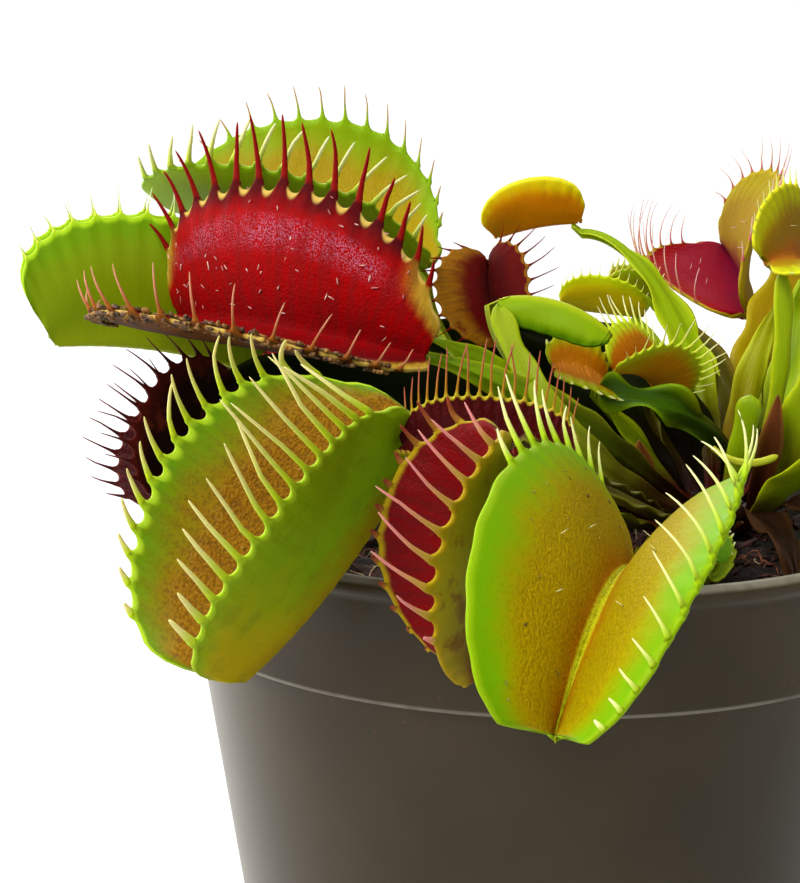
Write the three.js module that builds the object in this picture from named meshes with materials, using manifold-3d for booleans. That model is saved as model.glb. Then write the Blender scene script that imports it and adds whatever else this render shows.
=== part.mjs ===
// Potted venus flytrap: a round nursery pot filled with peat, a rhizome and its leaves.
// Millimetres, +Z up. The origin is the middle of the pot's flat underside.
// +Y points away from the side that the plant is usually seen from.
import * as THREE from 'three';
import { mergeVertices } from 'three/addons/utils/BufferGeometryUtils.js';
import Module from 'manifold-3d';

const wasm = await Module();
wasm.setup();
const { Manifold, Mesh: SolidMesh } = wasm;

// Driving dimensions of the pot
const potHeight = 72;
const rimRadius = 42.5;
const collarHeight = 13.2;
const collarFootRadius = 42;
const bodyTopRadius = 40.8;
const baseRadius = 31.5;
const potWall = 1.3;
const floorThickness = 1.6;
const rimLip = 0.5;
const rimLipHeight = 2.2;
const edgeRound = 0.6;
const drainHoleRadius = 3;
const drainCircleRadius = 21;
const drainHoleCount = 6;
const potSides = 48;

// Driving dimensions of the peat and of the rhizome that stands in it
const clearance = 0.3;
const soilLevel = 66;
const soilRelief = 0.9;
const soilChips = 12;
const chipThickness = 1.4;
const goldenTurn = 2.4;
const heapHeight = 1.5;
const heapSpread = 10.5;
const crownX = 20;
const crownY = 10;
const crownRadius = 6;
const crownTop = 71;
const crownDepth = 12;
const crownDome = 3.6;
const crownShrink = 0.2;
const crownLobes = 6;

// Driving dimensions of the leaves
const bladeEdge = 0.6;
const bladeRidge = 1.3;
const petioleSteps = 7;
const midribSteps = 6;
const outlineStart = 14;
const toothRootShare = 0.22;
const marginInset = 0.05;
const neckSetback = 0.4;
const midribDepth = 0.8;
const crownStandoff = 1;

// Each leaf: a petiole from the crown and a trap at its end. The petiole starts at
// a compass direction and height angle of the crown's dome, bends by a point in space, and
// reaches its trap from a distance behind and under it.
// The trap lies in its own frame: x along the midrib from petiole to tip, z into the mouth.
// heading, pitch, roll turn that frame; arch bends the midrib; a lobe is width, angle from
// the mouth's axis at the hinge, angle at the lip; teeth curl inwards by their own angle.
const leaves = [
  { name: 'front_left', base: [-11.7, -37.5, 87], heading: -166, pitch: -68, roll: 27,
    length: 30.4, back: 0.04, front: 0.19, arch: 35, power: 0.57, sheet: 0.9,
    left: { width: 22.3, hinge: 24, lip: 30, tooth: 9, curl: 22, skew: 0 },
    right: { width: 22.8, hinge: 70, lip: 28, tooth: 5, curl: 35, skew: 0 },
    teeth: 15, color: 0x7f9a1c,
    petiole: { start: [-136, 10], bend: [4, -24, 74], reach: [2, 9], width: 7 } },
  { name: 'front_middle', base: [-3.5, -56, 89.3], heading: -166, pitch: -84, roll: -5,
    length: 22, back: 0.05, front: 0.05, arch: 3, power: 0.75, sheet: 0.9,
    left: { width: 14.2, hinge: 85, lip: 37, tooth: 7, curl: 20, skew: 0.5 },
    right: { width: 12.8, hinge: 69, lip: 9, tooth: 4.5, curl: 10, skew: 0.3 },
    teeth: 12, color: 0x8e1f1c,
    petiole: { start: [-113, 10], bend: [2, -36, 84], reach: [-2, 4], width: 6 } },
  { name: 'front_open', base: [8, -54, 76], heading: -102, pitch: 8, roll: 8,
    length: 25.5, back: 0.14, front: 0.16, arch: -50, power: 0.65, sheet: 0.9,
    left: { width: 17, hinge: 16, lip: 60, tooth: 7, curl: 60, skew: 0.7 },
    right: { width: 16.5, hinge: 16, lip: 60, tooth: 8, curl: 12, skew: 0.9 },
    teeth: 12, color: 0xb7b81f,
    petiole: { start: [-80, 10], bend: [17, -24, 74], reach: [11, -1.5], width: 8 } },
  { name: 'left_red', base: [-13.5, -16, 91.5], heading: -192, pitch: 8, roll: 77,
    length: 36, back: 0.03, front: 0.01, arch: -43, power: 0.75, sheet: 0.9,
    left: { width: 20, hinge: 25, lip: -15, tooth: 6, curl: 55, skew: -0.2 },
    right: { width: 17.5, hinge: 49, lip: 100, tooth: 7.5, curl: 30, skew: 0 },
    teeth: 15, color: 0x8a1118,
    petiole: { start: [-120, 50], bend: [8, -4, 79], reach: [9, 2], width: 7 } },
  { name: 'left_green', base: [-15, 16, 98.5], heading: -186, pitch: 7.5, roll: 2.5,
    length: 31.5, back: 0, front: 0.14, arch: 7, power: 0.75, sheet: 0.9,
    left: { width: 22, hinge: 71, lip: 48, tooth: 7, curl: 20, skew: 0 },
    right: { width: 22, hinge: 90, lip: -8, tooth: 6, curl: -15, skew: 0 },
    teeth: 15, color: 0x9fb61f,
    petiole: { start: [180, 42], bend: [-2, 12, 76], reach: [1, 9], width: 6 } },
  { name: 'far_left', base: [-37, 8.5, 86], heading: -162, pitch: 19, roll: 1,
    length: 22.5, back: 0.11, front: 0.16, arch: -20, power: 0.4, sheet: 0.8,
    left: { width: 17, hinge: 26, lip: -15, tooth: 3, curl: 10, skew: 0 },
    right: { width: 17, hinge: 28, lip: -14, tooth: 2.4, curl: 10, skew: 0 },
    teeth: 15, color: 0x86bd1e,
    petiole: { start: [-174, 10], bend: [-8, 10, 71], reach: [8, 3], width: 8 } },
  { name: 'left_low', base: [-36, -3, 84.5], heading: -127, pitch: -41, roll: -34,
    length: 15, back: 0.07, front: 0.1, arch: -8, power: 0.57, sheet: 0.7,
    left: { width: 10.4, hinge: 35, lip: 19, tooth: 5, curl: 15, skew: 0 },
    right: { width: 10.4, hinge: 56, lip: 12, tooth: 5, curl: 15, skew: 0 },
    teeth: 11, color: 0x5a0e12,
    petiole: { start: [-153, 10], bend: [-8, 3, 70], reach: [0, 8], width: 6 } },
  { name: 'middle_red', base: [-5.5, 11.5, 90], heading: 118, pitch: 60, roll: 44,
    length: 11, back: 0.12, front: 0.1, arch: -30, power: 0.75, sheet: 0.7,
    left: { width: 8, hinge: 16, lip: 75, tooth: 2.5, curl: 20, skew: 0 },
    right: { width: 7, hinge: 30, lip: 100, tooth: 4.5, curl: 20, skew: 0 },
    teeth: 10, color: 0x6e0f12,
    petiole: { start: [130, 44], bend: [7, 16, 76], reach: [6, 1], width: 5 } },
  { name: 'back_crescent', base: [4, 30.5, 103], heading: -180, pitch: -4, roll: -2,
    length: 10.5, back: 0.07, front: 0.13, arch: -14, power: 0.5, sheet: 0.7,
    left: { width: 7.3, hinge: 50, lip: 10, tooth: 1.2, curl: 20, skew: 0 },
    right: { width: 7.3, hinge: 47, lip: 9, tooth: 1.2, curl: 20, skew: 0 },
    teeth: 9, color: 0xd0a413,
    petiole: { start: [76, 44], bend: [22, 25, 85], reach: [8, 0], width: 6 } },
  { name: 'young_pod', base: [-5, -0.5, 96], heading: -6, pitch: 12.5, roll: -173,
    length: 13.4, back: 0, front: 0.08, arch: 56, power: 0.53, sheet: 0.7,
    left: { width: 4.4, hinge: 62, lip: -32, tooth: 0.8, curl: 0, skew: 0 },
    right: { width: 4.4, hinge: 62, lip: -32, tooth: 0.8, curl: 0, skew: 0 },
    teeth: 7, color: 0x96bb1c,
    petiole: { start: [-152, 50], bend: [5, 1, 80], reach: [1, -8], neck: [1.6, -0.3], width: 8 } },
  { name: 'back_small', base: [12.5, 34.5, 90.5], heading: -186, pitch: 4.5, roll: -9,
    length: 10, back: 0.1, front: 0.07, arch: 2, power: 0.53, sheet: 0.7,
    left: { width: 6.8, hinge: 65, lip: 33, tooth: 3, curl: 20, skew: 0 },
    right: { width: 6.8, hinge: 61, lip: 41, tooth: 3, curl: 20, skew: 0 },
    teeth: 9, color: 0xa0a91c,
    petiole: { start: [98, 10], bend: [19, 25, 76], reach: [5, 3], width: 5 } },
  { name: 'middle_small', base: [14, 17.5, 82.5], heading: -112, pitch: 43, roll: 33,
    length: 10.4, back: 0.16, front: 0.11, arch: -48, power: 0.6, sheet: 0.7,
    left: { width: 7.2, hinge: 41, lip: 16, tooth: 5, curl: 0, skew: 0 },
    right: { width: 7.2, hinge: 18, lip: 72, tooth: 5, curl: 10, skew: 0 },
    teeth: 12, color: 0xc08a17,
    petiole: { start: [112, 56], bend: [17, 18, 75], reach: [4, 1], width: 6 } },
  { name: 'middle_tiny', base: [7, 10, 84.5], heading: -133, pitch: 27, roll: 47,
    length: 7.6, back: 0.11, front: 0.18, arch: -22, power: 0.5, sheet: 0.7,
    left: { width: 5.2, hinge: 55, lip: 74, tooth: 2, curl: 20, skew: 0 },
    right: { width: 5.2, hinge: 67, lip: 56, tooth: 2, curl: 20, skew: 0 },
    teeth: 8, color: 0xc3801a,
    petiole: { start: [150, 55], bend: [13, 12, 76], reach: [4, 1], width: 5 } },
  { name: 'right_back_red', base: [27.5, 38, 90], heading: 79, pitch: 9, roll: 53,
    length: 22.5, back: 0.2, front: 0, arch: 38, power: 0.75, sheet: 0.8,
    left: { width: 15.5, hinge: 16, lip: 22, tooth: 6.5, curl: 10, skew: 0 },
    right: { width: 18, hinge: 34, lip: 98, tooth: 6, curl: 40, skew: 0 },
    teeth: 15, color: 0x8f1719,
    petiole: { start: [42, 46], bend: [25.5, 21, 80], reach: [6, 1], width: 6 } },
  { name: 'right_green', base: [32.5, 23.5, 96], heading: -105, pitch: 38, roll: 27,
    length: 14.3, back: 0.11, front: 0.18, arch: -50, power: 0.75, sheet: 0.8,
    left: { width: 9.6, hinge: 74, lip: 64, tooth: 4, curl: 20, skew: 0 },
    right: { width: 9.6, hinge: 16, lip: 34, tooth: 4, curl: 10, skew: 0 },
    teeth: 12, color: 0xb49c1a,
    petiole: { start: [16, 50], bend: [30, 16, 78], reach: [6, 1], width: 6 } },
  { name: 'right_front', base: [38, -18, 84], heading: -40, pitch: -30, roll: 10,
    length: 26, back: 0.06, front: 0.12, arch: 20, power: 0.6, sheet: 0.9,
    left: { width: 18, hinge: 46, lip: 28, tooth: 6.5, curl: 20, skew: 0 },
    right: { width: 18, hinge: 50, lip: 24, tooth: 6.5, curl: 20, skew: 0 },
    teeth: 13, color: 0x9aa81e,
    petiole: { start: [-50, 10], bend: [29, -6, 76], reach: [6, 5], width: 8 } },
  { name: 'right_side', base: [48, 8, 92], heading: 5, pitch: 2, roll: -15,
    length: 24, back: 0.05, front: 0.08, arch: -15, power: 0.65, sheet: 0.9,
    left: { width: 17, hinge: 50, lip: 62, tooth: 6.5, curl: 25, skew: 0 },
    right: { width: 17, hinge: 44, lip: 58, tooth: 6.5, curl: 25, skew: 0 },
    teeth: 13, color: 0x8d1719,
    petiole: { start: [0, 10], bend: [33, 10, 77], reach: [9, 3], width: 8 } },
  { name: 'right_rear', base: [44, 34, 84], heading: 45, pitch: -20, roll: 5,
    length: 21, back: 0.05, front: 0.12, arch: 15, power: 0.6, sheet: 0.8,
    left: { width: 15, hinge: 44, lip: 10, tooth: 5, curl: 20, skew: 0 },
    right: { width: 15, hinge: 44, lip: 10, tooth: 5, curl: 20, skew: 0 },
    teeth: 12, color: 0x8fb01e,
    petiole: { start: [40, 10], bend: [33, 22, 74], reach: [8, 4], width: 7 } },
  { name: 'rear', base: [10, 47, 76], heading: 100, pitch: -45, roll: 0,
    length: 25, back: 0.05, front: 0.15, arch: 25, power: 0.6, sheet: 0.9,
    left: { width: 18, hinge: 58, lip: 34, tooth: 6.5, curl: 20, skew: 0 },
    right: { width: 18, hinge: 60, lip: 36, tooth: 6.5, curl: 20, skew: 0 },
    teeth: 13, color: 0x9c7a1c,
    petiole: { start: [118, 10], bend: [15, 30, 74], reach: [7, 2], width: 8 } },
  { name: 'rear_left', base: [-20, 28, 82], heading: 150, pitch: -8, roll: 20,
    length: 24, back: 0.05, front: 0.1, arch: 10, power: 0.6, sheet: 0.9,
    left: { width: 16, hinge: 60, lip: 40, tooth: 6, curl: 20, skew: 0 },
    right: { width: 16, hinge: 52, lip: 20, tooth: 6, curl: 20, skew: 0 },
    teeth: 13, color: 0x7d1a18,
    petiole: { start: [163, 10], bend: [2, 20, 74], reach: [8, 4], width: 8 } },
];

const radians = THREE.MathUtils.degToRad;
const vec = (values) => new THREE.Vector3(...values);

function finish(color, roughness, metalness = 0) {
  return new THREE.MeshStandardMaterial({ color, roughness, metalness });
}

const potPlastic = finish(0x4a4743, 0.42);
const peat = finish(0x2a1b14, 0.95);
const rhizomeSkin = finish(0x6b2a1a, 0.6);
const petioleGreen = finish(0x8fb51c, 0.45);

// Solid from a closed geometry, and back
function solidOf(geometry) {
  const bare = geometry.clone();
  bare.deleteAttribute('normal');
  bare.deleteAttribute('uv');
  const merged = mergeVertices(bare, 1e-4);
  return new Manifold(new SolidMesh({
    numProp: 3,
    vertProperties: new Float32Array(merged.attributes.position.array),
    triVerts: new Uint32Array(merged.index.array),
  }));
}

function geometryOf(solid) {
  const result = solid.getMesh();
  const geometry = new THREE.BufferGeometry();
  geometry.setAttribute('position', new THREE.BufferAttribute(result.vertProperties, 3));
  geometry.setIndex(new THREE.BufferAttribute(result.triVerts, 1));
  return geometry;
}

function geometryFrom(points, triangles) {
  const geometry = new THREE.BufferGeometry();
  const values = points.flatMap((p) => p.toArray());
  geometry.setAttribute('position', new THREE.Float32BufferAttribute(values, 3));
  geometry.setIndex(triangles.flat());
  return geometry;
}

// A small repeatable random source, so the peat's chips always fall alike
function seededRandom(seed) {
  let state = seed;
  return () => {
    state = (state * 16807) % 2147483647;
    return state / 2147483647;
  };
}

// A lathe turned about Z: the profile is [radius, height] and starts and ends on the axis
function turned(profile, sides) {
  const lathe = new THREE.LatheGeometry(profile.map(([r, z]) => new THREE.Vector2(r, z)), sides);
  lathe.rotateX(Math.PI / 2);
  return lathe;
}

// Pot: tapered body, a step out to the collar, a rounded rim, then the inside down to the floor
function makePot() {
  const step = potHeight - collarHeight;
  const insideTop = rimRadius - potWall;
  const insideStep = bodyTopRadius - potWall;
  const profile = [
    [0, 0],
    [baseRadius - 1, 0],
    [baseRadius, 1],
    [bodyTopRadius, step],
    [collarFootRadius, step],
    [collarFootRadius + 0.1, step + edgeRound],
    [rimRadius - 0.1, potHeight - rimLipHeight],
    [rimRadius + rimLip, potHeight - rimLipHeight + edgeRound],
    [rimRadius + rimLip, potHeight - edgeRound],
    [rimRadius, potHeight],
    [insideTop + edgeRound / 2, potHeight],
    [insideTop, potHeight - edgeRound],
    [insideStep, step - 1],
    [baseRadius - potWall, floorThickness],
    [0, floorThickness],
  ];
  let pot = solidOf(turned(profile, potSides));
  for (let i = 0; i < drainHoleCount; i += 1) {
    const angle = (i + 0.5) * 2 * Math.PI / drainHoleCount;
    const hole = new THREE.CylinderGeometry(drainHoleRadius, drainHoleRadius, 3 * floorThickness, 12);
    hole.rotateX(Math.PI / 2);
    hole.translate(drainCircleRadius * Math.cos(angle), drainCircleRadius * Math.sin(angle), 0);
    pot = pot.subtract(solidOf(hole));
  }
  return geometryOf(pot);
}

// Height of the peat's crumbly surface, a little heaped towards the rhizome
function soilHeight(x, y) {
  const waves = Math.sin(0.47 * x + 0.9) * Math.cos(0.39 * y) + 0.6 * Math.sin(0.83 * x - 0.71 * y);
  const fromCrown = Math.hypot(x - crownX, y - crownY);
  const heap = heapHeight * Math.exp(-((fromCrown / heapSpread) ** 2) / 2);
  return soilLevel + soilRelief * 0.6 * waves + heap;
}

// Radius of the space inside the pot at a height
function insideRadius(z) {
  const step = potHeight - collarHeight - 1;
  if (z < step) {
    const share = (z - floorThickness) / (step - floorThickness);
    return THREE.MathUtils.lerp(baseRadius, bodyTopRadius, share) - potWall;
  }
  const share = (z - step) / (potHeight - edgeRound - step);
  return THREE.MathUtils.lerp(bodyTopRadius, rimRadius, share) - potWall;
}

// Peat: fills the pot, with a crumbly top, chips of bark, and a plain hole for the rhizome
function makeSoil() {
  const bottom = floorThickness + clearance;
  const neck = potHeight - collarHeight - 1;
  const chord = Math.cos(Math.PI / potSides);
  const gap = clearance / chord;
  const topRadius = insideRadius(soilLevel) - gap - clearance;
  const profile = [
    [0, bottom],
    [insideRadius(bottom) - gap, bottom],
    [insideRadius(neck) - gap, neck],
    [topRadius, soilLevel],
  ];
  const rings = 6;
  for (let ring = rings - 1; ring >= 0; ring -= 1) {
    profile.push([topRadius * ring / rings, soilLevel]);
  }
  const block = turned(profile, potSides);
  const place = block.attributes.position;
  for (let i = 0; i < place.count; i += 1) {
    if (place.getZ(i) > soilLevel - 0.01) {
      place.setZ(i, soilHeight(place.getX(i), place.getY(i)));
    }
  }
  let soil = solidOf(block);
  const random = seededRandom(41);
  for (let i = 0; i < soilChips; i += 1) {
    const angle = goldenTurn * i + random();
    const reach = (topRadius - 4) * Math.sqrt((i + 0.7) / soilChips);
    const x = reach * Math.cos(angle);
    const y = reach * Math.sin(angle);
    const chip = new THREE.BoxGeometry(3 + 4 * random(), 1 + random(), chipThickness);
    chip.rotateY(0.5 * (random() - 0.5));
    chip.rotateZ(Math.PI * random());
    chip.translate(x, y, soilHeight(x, y));
    if (Math.hypot(x - crownX, y - crownY) > crownRadius + 6) {
      soil = soil.add(solidOf(chip));
    }
  }
  const holeRadius = crownRadius + clearance;
  const hole = new THREE.CylinderGeometry(holeRadius, holeRadius, 2 * crownDepth, 20);
  hole.rotateX(Math.PI / 2);
  hole.translate(crownX, crownY, crownTop);
  return geometryOf(soil.subtract(solidOf(hole)));
}

// Rhizome: a short bulb of swollen leaf bases, set in the hole in the peat
function makeCrown() {
  const foot = crownTop - crownDepth + clearance;
  const radius = crownRadius - crownShrink;
  const waist = crownTop - crownDome;
  const profile = [[0, foot], [radius - 1.5, foot], [radius, foot + 2], [radius, waist]];
  for (let i = 1; i < 4; i += 1) {
    const turn = i * Math.PI / 8;
    profile.push([radius * Math.cos(turn), waist + crownDome * Math.sin(turn)]);
  }
  profile.push([0, crownTop]);
  const bulb = turned(profile, 18);
  const place = bulb.attributes.position;
  for (let i = 0; i < place.count; i += 1) {
    const angle = Math.atan2(place.getY(i), place.getX(i));
    const swell = 1 - 0.07 * (1 + Math.cos(crownLobes * angle + 0.4 * place.getZ(i)));
    place.setX(i, place.getX(i) * swell);
    place.setY(i, place.getY(i) * swell);
  }
  bulb.translate(crownX, crownY, 0);
  return geometryOf(solidOf(bulb));
}

// The trap's own axes from its heading, pitch and roll
function axesOf(leaf) {
  const heading = radians(leaf.heading);
  const pitch = radians(leaf.pitch);
  const roll = radians(leaf.roll);
  const level = vec([Math.cos(heading), Math.sin(heading), 0]);
  const x = level.clone().multiplyScalar(Math.cos(pitch)).setZ(Math.sin(pitch));
  const up = level.multiplyScalar(-Math.sin(pitch)).setZ(Math.cos(pitch));
  const side = up.clone().cross(x);
  const z = up.multiplyScalar(Math.cos(roll)).addScaledVector(side, Math.sin(roll));
  const y = z.clone().cross(x);
  return { x, y, z };
}

// A point of a lobe: s runs along the midrib, v from the hinge (0) to the toothed margin (1)
function lobePoint(leaf, axes, side, s, v) {
  const lobe = side > 0 ? leaf.left : leaf.right;
  const start = radians(outlineStart);
  const turn = start + (Math.PI - 2 * start) * s;
  const half = leaf.length * (0.5 + leaf.back * (1 - s) + leaf.front * s);
  const marginAlong = leaf.length / 2 - half * Math.cos(turn) / Math.cos(start);
  const marginAcross = lobe.width * Math.sin(turn) ** leaf.power;
  const along = (1 - v) * leaf.length * s + v * marginAlong;
  const across = v * marginAcross;
  const hinge = radians(lobe.hinge);
  const rate = (radians(lobe.lip) - hinge) / lobe.width;
  const angle = hinge + rate * across;
  const outward = (Math.cos(hinge) - Math.cos(angle)) / rate;
  const inward = (Math.sin(angle) - Math.sin(hinge)) / rate;
  const bend = leaf.length / radians(leaf.arch);
  const swing = along / bend;
  return vec(leaf.base)
    .addScaledVector(axes.x, (bend - inward) * Math.sin(swing))
    .addScaledVector(axes.z, bend - (bend - inward) * Math.cos(swing))
    .addScaledVector(axes.y, side * outward);
}

// The unit normal of a lobe, pointing to the side that prey lands on
function lobeNormal(leaf, axes, side, s, v) {
  const step = 0.01;
  const alongStep = lobePoint(leaf, axes, side, s + step, v).sub(lobePoint(leaf, axes, side, s - step, v));
  const acrossStep = lobePoint(leaf, axes, side, s, v + step).sub(lobePoint(leaf, axes, side, s, v - step));
  return alongStep.cross(acrossStep).multiplyScalar(side).normalize();
}

// Share of its full length that a tooth has at a place along the margin
function toothShare(lobe, s) {
  return (0.45 + 0.55 * Math.sin(Math.PI * s)) * (1 + lobe.skew * (0.5 - s) * 1.6);
}

// Trap: both lobes and the midrib are one thin sheet with two faces, and each tooth is a
// four-sided spike that grows out of the rim between the faces
function makeTrap(leaf) {
  const axes = axesOf(leaf);
  const points = [];
  const triangles = [];
  const addPoint = (p) => points.push(p) - 1;
  const pair = (s, side, v) => {
    const p = lobePoint(leaf, axes, side, s, v);
    const n = lobeNormal(leaf, axes, side, s, v).multiplyScalar(leaf.sheet / 2);
    return { s, inner: addPoint(p.clone().add(n)), outer: addPoint(p.clone().sub(n)) };
  };
  const spread = (count) => Array.from({ length: count }, (_, i) => i / (count - 1));

  const firstRow = 0.34;
  const openness = (lobe) => lobe.hinge + firstRow / 2 * (lobe.lip - lobe.hinge);
  const wedge = radians((openness(leaf.left) + openness(leaf.right)) / 2);
  const midrib = spread(midribSteps + 1).map((s) => {
    const p = lobePoint(leaf, axes, 1, s, 0);
    const into = lobeNormal(leaf, axes, 1, s, 0.02).add(lobeNormal(leaf, axes, -1, s, 0.02)).normalize();
    const inner = addPoint(p.clone().addScaledVector(into, leaf.sheet / 2 / Math.sin(wedge)));
    const outer = addPoint(p.clone().addScaledVector(into, -midribDepth * leaf.sheet));
    return { s, inner, outer };
  });

  // Fills the strip between two rows on both faces with the same triangles
  const strip = (low, high, side) => {
    let i = 0;
    let j = 0;
    const face = (a, b, c) => {
      const [p, q] = side > 0 ? [b, c] : [c, b];
      triangles.push([a.inner, p.inner, q.inner], [a.outer, q.outer, p.outer]);
    };
    while (i < low.length - 1 || j < high.length - 1) {
      const lowNext = i < low.length - 1 ? low[i + 1].s : 2;
      const highNext = j < high.length - 1 ? high[j + 1].s : 2;
      if (lowNext <= highNext) {
        face(low[i], low[i + 1], high[j]);
        i += 1;
      } else {
        face(low[i], high[j + 1], high[j]);
        j += 1;
      }
    }
  };

  // Closes the rim between the faces, with a tooth on top where there is a tip
  const rim = (a, b, side, tip) => {
    const [p, q] = side > 0 ? [a, b] : [b, a];
    const ring = [p.outer, q.outer, q.inner, p.inner];
    if (tip === undefined) {
      triangles.push([ring[0], ring[1], ring[2]], [ring[0], ring[2], ring[3]]);
    } else {
      ring.forEach((corner, k) => triangles.push([corner, ring[(k + 1) % 4], tip]));
    }
  };

  for (const side of [1, -1]) {
    const lobe = side > 0 ? leaf.left : leaf.right;
    const rows = [midrib];
    rows.push(spread(midribSteps + 1).map((s) => pair(s, side, firstRow)));
    rows.push(spread(2 * midribSteps + 1).map((s) => pair(s, side, 0.7)));
    const pitch = (1 - 2 * marginInset) / (leaf.teeth - 1);
    const margin = [pair(0, side, 1)];
    const tips = [];
    for (let i = 0; i < leaf.teeth; i += 1) {
      const s = marginInset + pitch * i;
      const half = toothRootShare * pitch;
      margin.push(pair(s - half, side, 1), pair(s + half, side, 1));
      const root = lobePoint(leaf, axes, side, s, 1);
      const outward = root.clone().sub(lobePoint(leaf, axes, side, s, 0.96)).normalize();
      const inward = lobeNormal(leaf, axes, side, s, 1);
      const curl = radians(lobe.curl);
      const reach = lobe.tooth * toothShare(lobe, s);
      root.addScaledVector(outward, reach * Math.cos(curl));
      root.addScaledVector(inward, reach * Math.sin(curl));
      tips[2 * i + 1] = addPoint(root);
    }
    margin.push(pair(1, side, 1));
    rows.push(margin);
    for (let r = 0; r < rows.length - 1; r += 1) {
      strip(rows[r], rows[r + 1], side);
      rim(rows[r + 1][0], rows[r][0], side);
      rim(rows[r].at(-1), rows[r + 1].at(-1), side);
    }
    for (let i = 0; i < margin.length - 1; i += 1) {
      rim(margin[i + 1], margin[i], side, tips[i]);
    }
  }
  return geometryFrom(points, triangles);
}

// Share of its full width that a petiole has at t, from the crown (0) to the trap (1)
function petioleShare(t) {
  return 0.32 + 0.68 * Math.sin(Math.PI * t ** 1.2) ** 1.4 - 0.08 * t;
}

// A point that stands off from the crown's dome, by its compass direction and its height angle
function crownSurface(compass, height, standoff) {
  const ring = (crownRadius - crownShrink + standoff) * Math.cos(radians(height));
  return vec([
    crownX + ring * Math.cos(radians(compass)),
    crownY + ring * Math.sin(radians(compass)),
    crownTop - crownDome + (crownDome + standoff) * Math.sin(radians(height)),
  ]);
}

// Turn about the path that brings one direction across it onto another, to within half a turn
function turnOnto(from, onto, along) {
  const angle = Math.atan2(from.clone().cross(onto).dot(along), from.dot(onto));
  return angle - Math.PI * Math.round(angle / Math.PI);
}

// Petiole: a winged leaf stalk, thick along its ridge and thin at its edges. It starts flat on
// the crown and turns until its wings lie in line with the two lobes of its trap
function makePetiole(leaf) {
  const axes = axesOf(leaf);
  const crownPoint = crownSurface(...leaf.petiole.start, crownStandoff);
  const usualNeck = [neckSetback, midribDepth * leaf.sheet + clearance + bladeRidge / 2];
  const [setback, drop] = leaf.petiole.neck ?? usualNeck;
  const neck = vec(leaf.base).addScaledVector(axes.x, -setback).addScaledVector(axes.z, -drop);
  const [behind, under] = leaf.petiole.reach;
  const reach = neck.clone().addScaledVector(axes.x, -behind).addScaledVector(axes.z, -under);
  const curve = new THREE.CubicBezierCurve3(crownPoint, vec(leaf.petiole.bend), reach, neck);
  const { tangents, normals, binormals } = curve.computeFrenetFrames(petioleSteps);
  const outwards = crownPoint.clone().sub(vec([crownX, crownY, crownPoint.z]));
  const flat = vec([0, 0, 1]).cross(outwards).normalize();
  const firstTurn = turnOnto(normals[0], flat, tangents[0]);
  const lastTurn = turnOnto(normals[petioleSteps], axes.y, tangents[petioleSteps]);
  const twist = lastTurn - firstTurn - Math.PI * Math.round((lastTurn - firstTurn) / Math.PI);
  const points = [];
  const triangles = [];
  for (let i = 0; i <= petioleSteps; i += 1) {
    const t = i / petioleSteps;
    const center = curve.getPointAt(t);
    const turn = firstTurn + twist * t;
    const across = normals[i].clone().applyAxisAngle(tangents[i], turn);
    const up = binormals[i].clone().applyAxisAngle(tangents[i], turn);
    const half = leaf.petiole.width * petioleShare(t) / 2;
    const ridge = bladeRidge / 2;
    const edge = bladeEdge / 2;
    const section = [[half, -edge], [half, edge], [0, ridge], [-half, edge], [-half, -edge], [0, -ridge]];
    for (const [sideways, upwards] of section) {
      points.push(center.clone().addScaledVector(across, sideways).addScaledVector(up, upwards));
    }
  }
  for (let i = 0; i < petioleSteps; i += 1) {
    for (let k = 0; k < 6; k += 1) {
      const a = 6 * i + k;
      const b = 6 * i + (k + 1) % 6;
      triangles.push([a, b, b + 6], [a, b + 6, a + 6]);
    }
  }
  const last = 6 * petioleSteps;
  for (let k = 1; k < 5; k += 1) {
    triangles.push([0, k + 1, k], [last, last + k, last + k + 1]);
  }
  return geometryFrom(points, triangles);
}

function named(name, geometry, material) {
  const mesh = new THREE.Mesh(geometry, material);
  mesh.name = name;
  return mesh;
}

const group = new THREE.Group();
group.add(named('pot', makePot(), potPlastic));
group.add(named('soil', makeSoil(), peat));
group.add(named('crown', makeCrown(), rhizomeSkin));
for (const leaf of leaves) {
  group.add(named(`petiole_${leaf.name}`, makePetiole(leaf), petioleGreen));
  group.add(named(`trap_${leaf.name}`, makeTrap(leaf), finish(leaf.color, 0.45)));
}

export default group;
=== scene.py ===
import math
import bmesh
import bpy
import numpy as np
from mathutils import Matrix, Vector, noise


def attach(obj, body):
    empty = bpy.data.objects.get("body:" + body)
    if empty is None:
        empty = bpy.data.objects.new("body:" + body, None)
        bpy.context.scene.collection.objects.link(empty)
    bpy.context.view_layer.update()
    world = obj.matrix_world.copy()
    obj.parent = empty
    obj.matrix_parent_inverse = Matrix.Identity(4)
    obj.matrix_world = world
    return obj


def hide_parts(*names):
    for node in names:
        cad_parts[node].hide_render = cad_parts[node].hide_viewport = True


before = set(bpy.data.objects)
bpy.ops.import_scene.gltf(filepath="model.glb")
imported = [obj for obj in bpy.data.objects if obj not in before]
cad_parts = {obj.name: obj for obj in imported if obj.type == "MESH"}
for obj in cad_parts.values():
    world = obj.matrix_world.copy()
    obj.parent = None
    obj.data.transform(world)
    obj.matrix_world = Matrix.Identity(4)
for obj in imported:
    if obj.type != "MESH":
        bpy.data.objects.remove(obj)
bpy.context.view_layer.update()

# Potted venus flytrap. The dictionaries hold millimetres and degrees, and meshes are made in metres.
mm = 0.001

# Values that every leaf shares with its solid
shared = {
    'outlineStart': 14, 'marginInset': 0.05, 'neckSetback': 0.4, 'midribDepth': 0.8,
    'clearance': 0.3, 'ridge': 1.3, 'edge': 0.6, 'standoff': 1, 'stalkSteps': 7,
}
crown = {'x': 20, 'y': 10, 'radius': 5.8, 'top': 71, 'dome': 3.6, 'foot': 59.3}

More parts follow.
